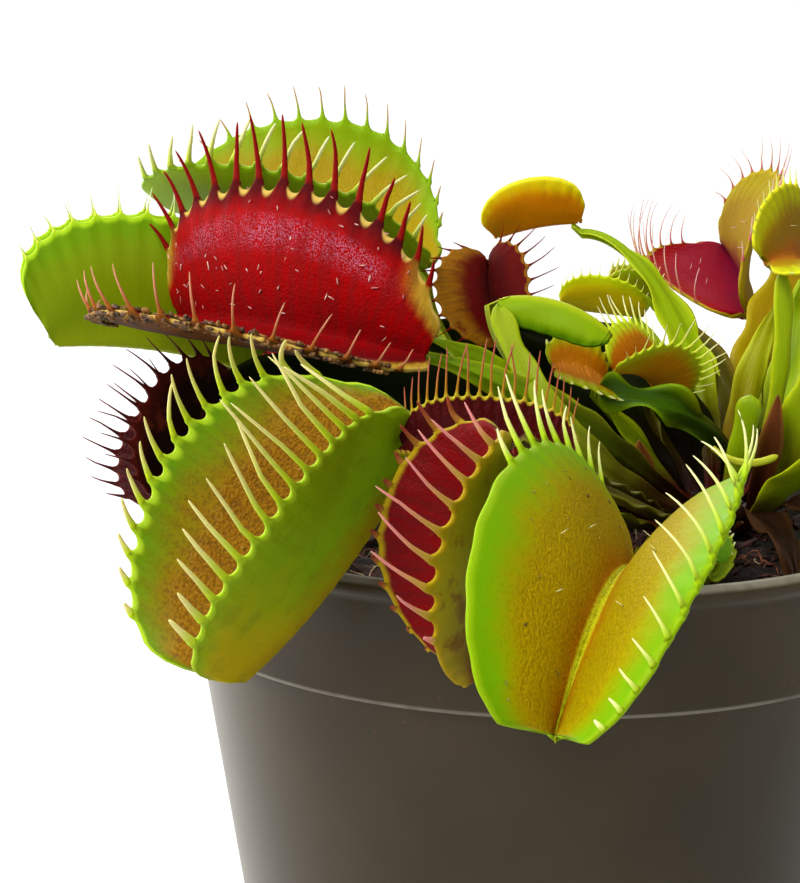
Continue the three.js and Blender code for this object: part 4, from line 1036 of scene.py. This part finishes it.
def buildLooseBits(kind, bits, seed):
    rng, leaf, thick = np.random.default_rng(seed), leaves[bits['leaf']], bits['thick']
    points, faces = [], []
    for _ in range(bits['count']):
        s, v = rng.uniform(0.08, 0.95), rng.uniform(*bits['band'])
        place, first, normal = surfacePoint(leaf, bits['side'], s, v, rng.uniform() < 0.5 or thick < 0.15)
        spin = rng.uniform(0, anyTurn)
        second = np.cross(normal, first)
        lengthwise = first * math.cos(spin) + second * math.sin(spin)
        sideways = np.cross(normal, lengthwise)
        size = rng.uniform(*bits['size'])
        centre = place + normal * (leaf['sheet'] / 2 * (0.75 if v > 0.85 else 1.0))
        faces += tubeFaces(4, 4, len(points)) + endFaces(4, 4, len(points))
        for along, wide, high in ((-1, 0.3, 0), (-0.3, 1, 0.3), (0.5, 0.8, 0.2), (1, 0.3, 0.5)):
            for w, h in ((-1, -0.8), (1, -0.8), (1, 0.6), (-1, 0.6)):
                jitter = rng.uniform(0.8, 1.2)
                flat = lengthwise * along * size / 2 * jitter + sideways * w * wide * thick * jitter
                points.append(centre + flat + normal * (h * thick + high * thick * rng.uniform(0, 2)))
    makePiece(kind, points, faces, looseSkin(f'{kind} skin', bits['dark'], bits['light'], 0.7))


for order, (kind, bits) in enumerate(looseBits.items()):
    buildLooseBits(kind, bits, seeds['loose bits'] + order)

# Near-black blades that stand in for the shade between the leaves (painted shade), other old and dry leaves,
# stubs and young leaves, each a bent blade along four points of a path
# Near-black green of the blades that fill the shade between the leaves: painted shade
shadeBladeLook = {'foot': '140804', 'wing': '121a04', 'wingEdge': '242a08', 'footLength': 0.5, 'gloss': 0.25}
dryLook = {'foot': '120806', 'wing': '24130a', 'wingEdge': '3c2412', 'footLength': 0.4, 'gloss': 0.4}
youngLook = {'foot': '4c1406', 'wing': '98b000', 'wingEdge': 'b8c810', 'footLength': 0.5}
scaleLook = {'foot': '3a100a', 'wing': '6a3414', 'wingEdge': '8a5a1c', 'footLength': 0.7}
usualBlade = {'thick': 0.5, 'facing': (0, -1, 0), 'wave': 0.3, 'stub': False, 'crinkle': 0.08,
              'look': shadeBladeLook}
blades = {
    'shade_blade_left': {'path': ((17, 12, 69), (8, 16, 82), (-6, 20, 88), (-19, 21, 90)), 'width': 9,
        'facing': (0, -1, 0.1), 'wave': 0.7},
    # This low blade also stands in for shade: painted shade, in the dark brown of the dry leaves
    'shade_blade_low': {'path': ((16, 9, 68.5), (8, 10, 77), (-2, 12, 80), (-14, 12, 80)), 'width': 7,
        'facing': (0, -1, 0.3), 'wave': 0.6, 'look': dryLook},
    'shade_blade_back': {'path': ((19, 15, 69), (14, 21, 80), (6, 25, 88), (-5, 28, 89)), 'width': 9,
        'facing': (0, -1, 0.1), 'wave': 0.8},
    'shade_blade_under': {'path': ((6, 2, 69.5), (-8, 4, 87), (-24, 3, 88.4), (-41, 2, 85.2)), 'width': 8.5,
        'thick': 0.6, 'facing': (0, -1, 0.15), 'wave': 0.8},
    'shade_blade_middle': {'path': ((20, 15, 69), (18, 19, 77), (14, 22, 85), (5, 23, 91)), 'width': 9,
        'facing': (0.2, -1, 0), 'wave': 0.6},
    'old_leaf_right': {'path': ((22, 15, 70), (25, 20, 78), (23, 25, 86), (16.6, 28, 91.4)), 'width': 5,
        'wave': 0.9,
        'look': {'foot': '2a1408', 'wing': '4a4410', 'wingEdge': '6a5a14', 'footLength': 0.4, 'gloss': 0.3}},
    'yellow_stalk': {'path': ((24, 13, 69.5), (23, 15, 80), (26, 18, 87), (29, 20, 94)), 'width': 3.8,
        'thick': 0.9, 'wave': 0.4,
        'look': {'foot': '6a1a0c', 'wing': 'a0a404', 'wingEdge': 'b4bc0c', 'footLength': 0.75}},
    'red_leaf_wing': {'path': ((14, 2, 71), (4, -3, 84), (-5, -8, 89.2), (-13, -16, 93.6)), 'width': 3.6,
        'thick': 0.8, 'facing': (0.2, -1, 0.4),
        'look': {'foot': '5a2a06', 'wing': '8cac00', 'wingEdge': 'a4bc08', 'footLength': 0.5}},
    'pod_wing': {'path': ((18, 3, 69.5), (8, -18, 77), (-3.5, -15, 88), (-5.4, -1.2, 95.6)), 'width': 3.0,
        'thick': 0.8, 'facing': (0.3, -1, 0.2), 'stub': True,
        'look': {'foot': '3c1604', 'wing': '94a800', 'wingEdge': 'a0b404', 'footLength': 0.95}},
    'tan_leaf': {'path': ((25, 20, 72), (28, 30, 84), (33, 38, 94), (38.5, 42, 104)), 'width': 10,
        'thick': 0.8, 'wave': 0.4,
        'look': {'foot': '6a3a0c', 'wing': '9c7e00', 'wingEdge': 'a89404', 'footLength': 0.4}},
    'shade_blade_side': {'path': ((25, 12, 70), (31, 16, 80), (36, 19, 86), (41, 20, 88)), 'width': 7,
        'facing': (0.3, -1, 0), 'wave': 0.7},
    'dry_leaf_front': {'path': ((22, 4, 69), (26, -4, 74), (28, -14, 71), (27, -22, 68.4)), 'width': 4,
        'facing': (0, 0, 1), 'wave': 0.9, 'look': dryLook},
    'dry_leaf_right': {'path': ((26, 8, 69), (31, 4, 74), (35, -1, 71), (37.5, -4, 67.8)), 'width': 4,
        'facing': (0, 0, 1), 'wave': 0.9, 'look': dryLook},
    'dry_leaf_back': {'path': ((19, 16, 69), (14, 24, 73), (8, 30, 71), (4, 34, 68)), 'width': 5,
        'facing': (0, 0, 1), 'wave': 0.9, 'look': dryLook},
    'dry_leaf_left': {'path': ((14, 8, 69), (4, 2, 73), (-8, -6, 71), (-16, -10, 68)), 'width': 5,
        'facing': (0, 0, 1), 'wave': 0.9, 'look': dryLook},
    'wavy_blade': {'path': ((23, 13, 74), (20, 9, 82), (13, 6, 84), (6.5, 6, 84.6)), 'width': 4.2,
        'facing': (0, -0.8, 0.5), 'wave': 1.6, 'stub': True, 'crinkle': 0.22,
        'look': {'foot': '1c2402', 'wing': '3c5e00', 'wingEdge': '789a02', 'footLength': 0.7}},
    'cut_stub': {'path': ((22, 5, 69), (22.6, 2.5, 75), (23.4, 0.8, 80), (24, 0, 85.2)), 'width': 3.1,
        'thick': 1.9, 'facing': (0, -1, 0.2), 'wave': 0.1, 'stub': True,
        'look': {'foot': '4a1206', 'wing': '88a404', 'wingEdge': '98b00c', 'footLength': 0.7}},
    'curled_stub': {'path': ((19.6, -2.6, 79.4), (21.8, -3.4, 77.6), (24.2, -4, 77.4), (27, -3.4, 78.8)),
        'width': 0.9, 'thick': 0.7, 'wave': 0.1, 'stub': True,
        'look': {'foot': 'a8a420', 'wing': 'b4b828', 'wingEdge': 'c4c83a', 'footLength': 0.2}},
    'old_scale_right': {'path': ((25, 6, 70), (26.6, 4.6, 76), (27.3, 4, 80), (27.6, 4, 84.8)), 'width': 3,
        'thick': 0.9, 'facing': (0, -1, 0.2), 'wave': 0.2, 'look': scaleLook},
    'old_scale_left': {'path': ((15.5, 7, 69.5), (12.6, 5, 73), (11.6, 4, 76), (11.4, 3.6, 79)), 'width': 3,
        'thick': 0.9, 'facing': (0.3, -1, 0.2), 'wave': 0.2, 'look': scaleLook},
    'young_leaf_right': {'path': ((26, 11, 70), (28.5, 12, 82), (29.5, 12, 91), (28.3, 12, 98.5)),
        'width': 2.3, 'thick': 1.5, 'facing': (0, -1, 0.1), 'wave': 0.1, 'stub': True, 'look': youngLook},
    'young_leaf_side': {'path': ((26.5, 8, 70), (31, 6, 80), (33.5, 5, 88), (34.5, 4.5, 95)), 'width': 6,
        'thick': 1.0, 'facing': (0, -1, 0.1), 'look': youngLook},
    'young_leaf_back': {'path': ((22, 16, 70), (22, 22, 80), (19, 27, 88), (15, 30, 93)), 'width': 5.5,
        'thick': 1.0, 'facing': (0, -1, 0.1), 'look': youngLook},
}


bladeMesh = {'rings': 41, 'around': 13, 'crinkles': 0.8, 'waves': 0.55, 'vee': 0.12}


def buildBlade(blade, seed):
    rng = np.random.default_rng(seed)
    share = np.linspace(0, 1, bladeMesh['rings'])
    line = bezier(*(np.array(p, dtype=float) for p in blade['path']), share)
    tangent = unit(np.gradient(line, axis=0))
    across = unit(np.cross(tangent, np.array(blade['facing'], dtype=float)))
    up = np.cross(across, tangent)
    if blade['stub']:
        bell = np.sqrt(np.maximum(0.02, 1 - np.maximum(0, (share - 0.86) / 0.14) ** 2.5))
        bell *= 0.8 + 0.2 * share
    else:
        bell = 0.3 + 0.7 * np.sin(np.pi * share ** 0.9) ** 0.9
        bell *= np.sqrt(np.maximum(0.004, 1 - np.maximum(0, (share - 0.7) / 0.3) ** 2))
    around = np.linspace(-1, 1, bladeMesh['around'])
    phase = rng.uniform(0, 6, 3)
    length = np.sum(np.linalg.norm(np.diff(line, axis=0), axis=1))
    rings = []
    for i, t in enumerate(share):
        crinkle = blade['crinkle'] * math.sin(bladeMesh['crinkles'] * length * t + phase[0])
        half = blade['width'] / 2 * bell[i] * (1 + crinkle)
        thick = blade['thick'] / 2 * np.sqrt(np.maximum(0.06, 1 - around ** 2)) * max(0.35, bell[i] ** 0.5)
        lift = np.sin(bladeMesh['waves'] * length * t + phase[1] + 1.2 * around)
        lift = blade['wave'] * lift * around ** 2 + bladeMesh['vee'] * half * around ** 2
        lift = lift + 0.25 * blade['wave'] * np.sin(5 * around + phase[2] + 6 * t)
        rings.append((line[i], across[i], up[i], half, thick, lift, t))
    return stripMesh(around, rings)


for order, (name, blade) in enumerate(blades.items()):
    blade = {**usualBlade, **blade}
    points, faces, data = buildBlade(blade, seeds['blade'] + order)
    makePiece(name, points, faces, stalkSkin(f'{name} skin', blade['look']), (), data)
print('small growth made', len(blades))

# Pot: the solid's profile with rounder corners, and holes in the floor
pot = {'height': 72, 'rim': 42.5, 'collar': 13.2, 'collarFoot': 42, 'bodyTop': 40.8, 'base': 31.5,
       'wall': 1.3, 'floor': 1.6, 'lip': 0.5, 'lipHeight': 2.2, 'round': 0.6, 'holeRadius': 3,
       'holeCircle': 21, 'holes': 6, 'sides': 240}


def rounded(profile, radii, steps=5):
    result = []
    profile = [np.array(p, dtype=float) for p in profile]
    for k, (p, r) in enumerate(zip(profile, radii)):
        if r == 0:
            result.append(p)
            continue
        before, after = profile[k - 1], profile[k + 1]
        r = min(r, 0.45 * np.linalg.norm(before - p), 0.45 * np.linalg.norm(after - p))
        a, b = p + unit(before - p) * r, p + unit(after - p) * r
        result.extend((1 - t) ** 2 * a + 2 * t * (1 - t) * p + t * t * b for t in np.linspace(0, 1, steps))
    return result


def lathe(profile, sides):
    profile = [p for p in profile if p[0] > 1e-6]
    points = [(r * math.cos(a), r * math.sin(a), z) for r, z in profile for a in circle(sides)]
    faces = tubeFaces(len(profile), sides)
    return points, faces + fanEnds(points, len(profile), sides, (profile[0][1], profile[-1][1]))


def cutHoles(piece):
    cutter = bpy.data.meshes.new('cutter')
    bm = bmesh.new()
    radius = pot['holeRadius'] * mm
    for i in range(pot['holes']):
        angle = (i + 0.5) * 2 * math.pi / pot['holes']
        spot = Matrix.Translation(Vector((math.cos(angle), math.sin(angle), 0)) * pot['holeCircle'] * mm)
        bmesh.ops.create_cone(bm, cap_ends=True, segments=40, radius1=radius, radius2=radius,
                              depth=4 * pot['floor'] * mm, matrix=spot)
    bm.to_mesh(cutter)
    bm.free()
    tool = bpy.data.objects.new('cutter', cutter)
    bpy.context.scene.collection.objects.link(tool)
    cut = piece.modifiers.new('holes', 'BOOLEAN')
    cut.object = tool
    cut.operation = 'DIFFERENCE'
    result = bpy.data.meshes.new_from_object(piece.evaluated_get(bpy.context.evaluated_depsgraph_get()))
    piece.modifiers.clear()
    old = piece.data
    piece.data = result
    bpy.data.meshes.remove(old)
    bpy.data.objects.remove(tool)
    shadeSmooth(piece, True)
    result.update()


# Heights in metres between which the dust and the painted highlight along the edges of the collar and rim
# fade in and out
potDustAndHighlight = {'dust': (0.052, 0.0585), 'collarIn': (0.0587, 0.05885), 'collarOut': (0.05935, 0.0591),
           'rim': (0.07125, 0.0717)}


def potPlastic():
    material, sh, shader, place = newMaterial('pot plastic')
    height = heightOf(sh, place)
    broad = sh.noise(place, 35, 4)
    fine = sh.noise(place, 2400, 2)
    base = sh.mix(sh.ramp(broad, 0.3, 0.75), rgb('2e230c'), rgb('3c3018'))
    nearCollar = sh.math('MAXIMUM', sh.ramp(height, *potDustAndHighlight['dust']), 0.12)
    dusty = placed(sh, dustSpecks, {'Place': place, 'Under': base, 'Dust': '6a4428', 'Amount': 0.85,
                                    'Mask': nearCollar})
    # Painted highlight: a pale, patchy line along the foot of the collar and the top edge of the rim, where
    # their rounded edges catch the light
    collarHighlight = sh.times(sh.ramp(height, *potDustAndHighlight['collarIn']), sh.ramp(height, *potDustAndHighlight['collarOut']))
    edgeHighlight = sh.times(sh.plus(collarHighlight, sh.ramp(height, *potDustAndHighlight['rim']), clamp=True),
                    sh.ramp(sh.noise(place, 130, 4, 0.7), 0.2, 0.65, (0.12, 0.6)))
    sh.feed(shader.inputs['Base Color'], sh.mix(edgeHighlight, dusty['Color'], rgb('9a9282')))
    sh.feed(shader.inputs['Roughness'], sh.plus(sh.ramp(broad, 0.2, 0.8, (0.28, 0.4)),
                                                sh.times(dusty['Specks'], 0.4)))
    shader.inputs['Specular IOR Level'].default_value = 0.32
    shader.inputs['Sheen Weight'].default_value = 0.3
    shader.inputs['Sheen Roughness'].default_value = 0.42
    shader.inputs['Sheen Tint'].default_value = (1.0, 0.95, 0.84, 1.0)
    bumped(sh, shader, sh.plus(sh.times(fine, 0.5), dusty['Specks']), 0.2, 0.08)
    return material


def buildPot():
    step = pot['height'] - pot['collar']
    top, rim, wall, edge = pot['height'], pot['rim'], pot['wall'], pot['round']
    outer, lipFoot = rim + pot['lip'], top - pot['lipHeight']
    profile = [
        (0, 0), (pot['base'] - 1, 0), (pot['base'], 1), (pot['bodyTop'], step), (pot['collarFoot'], step),
        (pot['collarFoot'] + 0.1, step + edge), (rim - 0.1, lipFoot), (outer, lipFoot + edge),
        (outer, top - edge), (rim, top), (rim - wall + edge / 2, top), (rim - wall, top - edge),
        (pot['bodyTop'] - wall, step - 1), (pot['base'] - wall, pot['floor']), (0, pot['floor'])]
    radii = (0, 0.8, 0.8, 0.5, 0.5, 0.3, 0.6, 0.5, 0.5, 0.5, 0.3, 0.4, 2, 1.5, 0)
    points, faces = lathe(rounded(profile, radii), pot['sides'])
    cutHoles(makePiece('fine_pot', points, faces, potPlastic(), ('pot',)))


buildPot()
print('pot made')

# Peat: a closed body that fills the pot, with a crumbly top
peat = {'level': 66, 'relief': 0.54, 'rings': 84, 'sides': 260, 'heap': 1.5, 'spread': 10.5, 'gap': 0.4,
        'crumbs': 900, 'crumbsFromWall': 2.2, 'fibres': 620, 'fibresFromWall': 4.5}
crumb = {'size': (0.25, 0.9), 'largeShare': 0.12, 'large': 1.6, 'length': (0.8, 2.6), 'width': (0.6, 1.1),
         'height': (0.35, 0.8), 'tilt': 0.5, 'uneven': 0.25}
fibre = {'points': 7, 'length': (1.2, 4.5), 'rise': (0.1, 1.4), 'bend': 1.0, 'radius': (0.07, 0.2)}
fibreKinds = {'peat_fibres_red': {'share': 0.7, 'dark': '4a1c0e', 'light': '94502c'},
              'peat_fibres_pale': {'share': 0.3, 'dark': '8a6a48', 'light': 'c8ac84'}}


def ground(x, y):
    waves = math.sin(0.47 * x + 0.9) * math.cos(0.39 * y) + 0.6 * math.sin(0.83 * x - 0.71 * y)
    fromCrown = (x - crown['x']) ** 2 + (y - crown['y']) ** 2
    heap = peat['heap'] * math.exp(-fromCrown / peat['spread'] ** 2 / 2)
    crumbly = sum(size * noise.noise(Vector((x * scale, y * scale, 3.7)))
                  for scale, size in ((0.35, 0.7), (0.9, 0.5), (2.1, 0.28)))
    return peat['level'] + peat['relief'] * waves + heap + crumbly


def insideRadius(z):
    step = pot['height'] - pot['collar'] - 1
    low, high, foot, top = pot['bodyTop'], pot['rim'], step, pot['height'] - pot['round']
    if z < step:
        low, high, foot, top = pot['base'], pot['bodyTop'], pot['floor'], step
    return low + (high - low) * (z - foot) / (top - foot) - pot['wall']


def peatSkin():
    material, sh, shader, place = newMaterial('peat skin')
    coarse = sh.noise(place, 420, 6, 0.7)
    shreds = sh.noise(place, 1500, 4, 0.6)
    base = sh.mix(sh.ramp(coarse, 0.4, 0.7), rgb('140a06'), rgb('2e1a10'))
    sh.feed(shader.inputs['Base Color'], sh.mix(sh.ramp(shreds, 0.58, 0.74), base, rgb('5a2a16')))
    sh.feed(shader.inputs['Roughness'], sh.ramp(shreds, 0.3, 0.7, (0.75, 0.95)))
    bumped(sh, shader, sh.plus(coarse, sh.times(shreds, 0.6)), 0.9, 0.9)
    return material


def buildPeat():
    rings, sides = peat['rings'], peat['sides']
    top = insideRadius(peat['level']) - peat['gap'] - 0.3
    bottom = pot['floor'] + shared['clearance']
    points = []
    for radius in (top * i / rings for i in range(1, rings + 1)):
        for a in circle(sides):
            x, y = radius * math.cos(a), radius * math.sin(a)
            points.append((x, y, ground(x, y)))
    for z in (pot['height'] - pot['collar'] - 1, bottom):
        radius = insideRadius(z) - peat['gap']
        points.extend((radius * math.cos(a), radius * math.sin(a), z) for a in circle(sides))
    faces = tubeFaces(rings + 2, sides) + fanEnds(points, rings + 2, sides, (ground(0.0, 0.0), bottom))
    makePiece('fine_peat', points, faces, peatSkin(), ('soil',))


def scatterSpot(rng, fromWall):
    limit = insideRadius(peat['level']) - fromWall
    radius, angle = limit * math.sqrt(rng.uniform(0, 1)), rng.uniform(0, 2 * math.pi)
    return radius * math.cos(angle), radius * math.sin(angle)


def buildCrumbs():
    rng = np.random.default_rng(seeds['crumbs'])
    points, faces = [], []
    corners = [(math.cos(a) * c, math.sin(a) * c, h) for h, c in ((-0.6, 0.7), (0.1, 1.0), (0.7, 0.6))
               for a in np.arange(6) * math.pi / 3]
    for _ in range(peat['crumbs']):
        x, y = scatterSpot(rng, peat['crumbsFromWall'])
        size = rng.uniform(*crumb['size']) * (crumb['large'] if rng.uniform() < crumb['largeShare'] else 1)
        stretch = np.array([rng.uniform(*crumb[key]) for key in ('length', 'width', 'height')]) * size
        spin = Matrix.Rotation(rng.uniform(0, anyTurn), 3, 'Z')
        turn = np.array(spin @ Matrix.Rotation(rng.normal(0, crumb['tilt']), 3, 'Y'))
        centre = np.array([x, y, ground(x, y) + 0.25 * size])
        faces += tubeFaces(3, 6, len(points)) + endFaces(3, 6, len(points))
        for corner in corners:
            uneven = 1 + rng.uniform(-crumb['uneven'], crumb['uneven'])
            points.append(centre + turn @ (np.array(corner) * uneven * stretch))
    skin = looseSkin('crumb skin', '1c0e08', '4a2414')
    shadeSmooth(makePiece('peat_crumbs', points, faces, skin), False)


def thread(points, faces, line, radius, sides=5):
    line = np.asarray(line)
    tangent = unit(np.gradient(line, axis=0))
    faces += tubeFaces(len(line), sides, len(points)) + endFaces(len(line), sides, len(points))
    for i, p in enumerate(line):
        a = unit(np.cross(tangent[i], [0.21, 0.33, 0.92]))
        b = np.cross(tangent[i], a)
        r = radius * (1 - 0.7 * i / (len(line) - 1))
        points.extend(p + (a * math.cos(q) + b * math.sin(q)) * r for q in circle(sides))


def buildFibres():
    rng = np.random.default_rng(seeds['fibres'])
    for name, kind in fibreKinds.items():
        points, faces = [], []
        for _ in range(int(peat['fibres'] * kind['share'])):
            x, y = scatterSpot(rng, peat['fibresFromWall'])
            heading, length = rng.uniform(0, anyTurn), rng.uniform(*fibre['length'])
            rise, bend = rng.uniform(*fibre['rise']), rng.normal(0, fibre['bend'])
            line = []
            for t in np.linspace(0, 1, fibre['points']):
                px = x + length * t * math.cos(heading + bend * t)
                py = y + length * t * math.sin(heading + bend * t)
                line.append((px, py, ground(px, py) + 0.1 + rise * math.sin(math.pi * t) ** 1.5))
            thread(points, faces, line, rng.uniform(*fibre['radius']))
        makePiece(name, points, faces, looseSkin(f'{name} skin', kind['dark'], kind['light'], 0.8))


buildPeat()
buildCrumbs()
buildFibres()
print('peat made')


# Crown: swollen leaf bases round a short rhizome
def crownSkin():
    material, sh, shader, place = newMaterial('crown skin')
    broad = sh.noise(place, 260, 4, 0.6)
    up = sh.ramp(sh.plus(heightOf(sh, place), sh.times(broad, 0.004)), 0.068, 0.0765)
    base = sh.mix(sh.ramp(broad, 0.35, 0.65), rgb('3a120c'), rgb('6e2014'))
    sh.feed(shader.inputs['Base Color'], sh.mix(up, base, rgb('8a7a1e')))
    sh.feed(shader.inputs['Roughness'], sh.ramp(broad, 0.3, 0.7, (0.4, 0.6)))
    bumped(sh, shader, sh.noise(place, 900, 4), 0.4, 0.4)
    livingTissue(shader, 0.1)
    return material


crownMesh = {'sides': 96, 'bases': 6, 'swell': 0.07, 'furrows': 23, 'furrow': 0.03}


def buildCrown():
    sides, points = crownMesh['sides'], []
    radius, foot, shoulder = crown['radius'], crown['foot'], crown['top'] - crown['dome']
    profile = [(1.5, foot), (radius - 1.5, foot), (radius, foot + 2)]
    profile += [(radius, z) for z in np.linspace(foot + 3, shoulder, 12)]
    profile += [(radius * math.cos(a), shoulder + crown['dome'] * math.sin(a))
                for a in np.linspace(0.1, 1.5, 16)]
    for r, z in profile:
        for a in circle(sides):
            swell = 1 - crownMesh['swell'] * (1 + math.cos(crownMesh['bases'] * a + 0.4 * z))
            swell += crownMesh['furrow'] * math.sin(crownMesh['furrows'] * a + 1.7 * z)
            points.append((crown['x'] + r * swell * math.cos(a), crown['y'] + r * swell * math.sin(a), z))
    faces = tubeFaces(len(profile), sides) + endFaces(len(profile), sides)
    makePiece('fine_crown', points, faces, crownSkin(), ('crown',))


buildCrown()
print('crown made')

# Floor, light and camera: each lamp has its place, its size and its power, all in metres and watts
studio = {'floor': 6.0, 'backdrop': 1.42, 'world': 0.13, 'mirrored': 0.16, 'aim': (0, 0, 0.085)}
lamps = {
    'key': {'place': (-0.45, -0.55, 0.75), 'size': (0.5, 0.5), 'power': 9.8},
    'fill': {'place': (0.3, -0.85, 0.1), 'size': (0.7, 0.5), 'power': 2.0},
    'rim': {'place': (-0.2, 0.7, 0.5), 'size': (0.8, 0.5), 'power': 4.0},
    'top': {'place': (0.1, 0.05, 0.9), 'size': (0.7, 0.7), 'power': 2.4},
    'left': {'place': (-0.95, 0.3, 0.2), 'size': (1.5, 0.7), 'power': 14.0},
}
view = {'place': (0, -234.9, 121.2), 'target': (-16.9, 0, 79), 'roll': 0.33, 'focal': 2022, 'longSide': 883}


def buildFloor():
    mesh = bpy.data.meshes.new('floor')
    half = studio['floor'] / 2
    corners = [(-half, -half, 0), (half, -half, 0), (half, half, 0), (-half, half, 0)]
    mesh.from_pydata(corners, [], [(0, 1, 2, 3)])
    floor = bpy.data.objects.new('floor', mesh)
    bpy.context.scene.collection.objects.link(floor)
    material, sh, shader, place = newMaterial('floor paper')
    paper = sh.mix(sh.noise(place, 3, 2), (0.52, 0.52, 0.52, 1), (0.56, 0.56, 0.56, 1))
    sh.feed(shader.inputs['Base Color'], paper)
    shader.inputs['Roughness'].default_value = 0.8
    lit = sh.node('ShaderNodeEmission')
    lit.inputs[1].default_value = studio['backdrop']
    share = sh.times(sh.node('ShaderNodeLightPath').outputs['Is Camera Ray'], 0.72)
    both = sh.filled(sh.node('ShaderNodeMixShader'), (share, shader.outputs[0], lit.outputs[0]))
    sh.feed(material.node_tree.nodes['Material Output'].inputs[0], both)
    mesh.materials.append(material)


def buildLights():
    world = bpy.data.worlds.new('studio')
    world.use_nodes = True
    sh = Shader(world.node_tree)
    back = world.node_tree.nodes['Background']
    back.inputs[0].default_value = (1, 1, 1, 1)
    path = sh.node('ShaderNodeLightPath').outputs
    around = sh.ramp(path['Is Glossy Ray'], 0.0, 1.0, (studio['world'], studio['mirrored']))
    sh.feed(back.inputs[1], sh.plus(around, path['Is Camera Ray']))
    bpy.context.scene.world = world
    for name, lamp in lamps.items():
        data = bpy.data.lights.new(name, 'AREA')
        data.shape = 'RECTANGLE'
        data.size, data.size_y = lamp['size']
        data.energy = lamp['power']
        made = bpy.data.objects.new(name, data)
        bpy.context.scene.collection.objects.link(made)
        made.location = lamp['place']
        toAim = Vector(studio['aim']) - Vector(lamp['place'])
        made.rotation_euler = toAim.to_track_quat('-Z', 'Y').to_euler()


def buildCamera():
    data = bpy.data.cameras.new('view')
    data.sensor_width = 36
    data.lens = view['focal'] * data.sensor_width / view['longSide']
    data.clip_start, data.clip_end = 0.01, 20
    camera = bpy.data.objects.new('view', data)
    bpy.context.scene.collection.objects.link(camera)
    place, target = Vector(view['place']) * mm, Vector(view['target']) * mm
    turn = (target - place).to_track_quat('-Z', 'Y').to_matrix().to_4x4()
    roll = Matrix.Rotation(math.radians(view['roll']), 4, 'Z')
    camera.matrix_world = Matrix.Translation(place) @ turn @ roll
    bpy.context.scene.camera = camera


buildFloor()
buildLights()
buildCamera()
bpy.context.scene.view_settings.view_transform = 'Standard'
print('studio made')
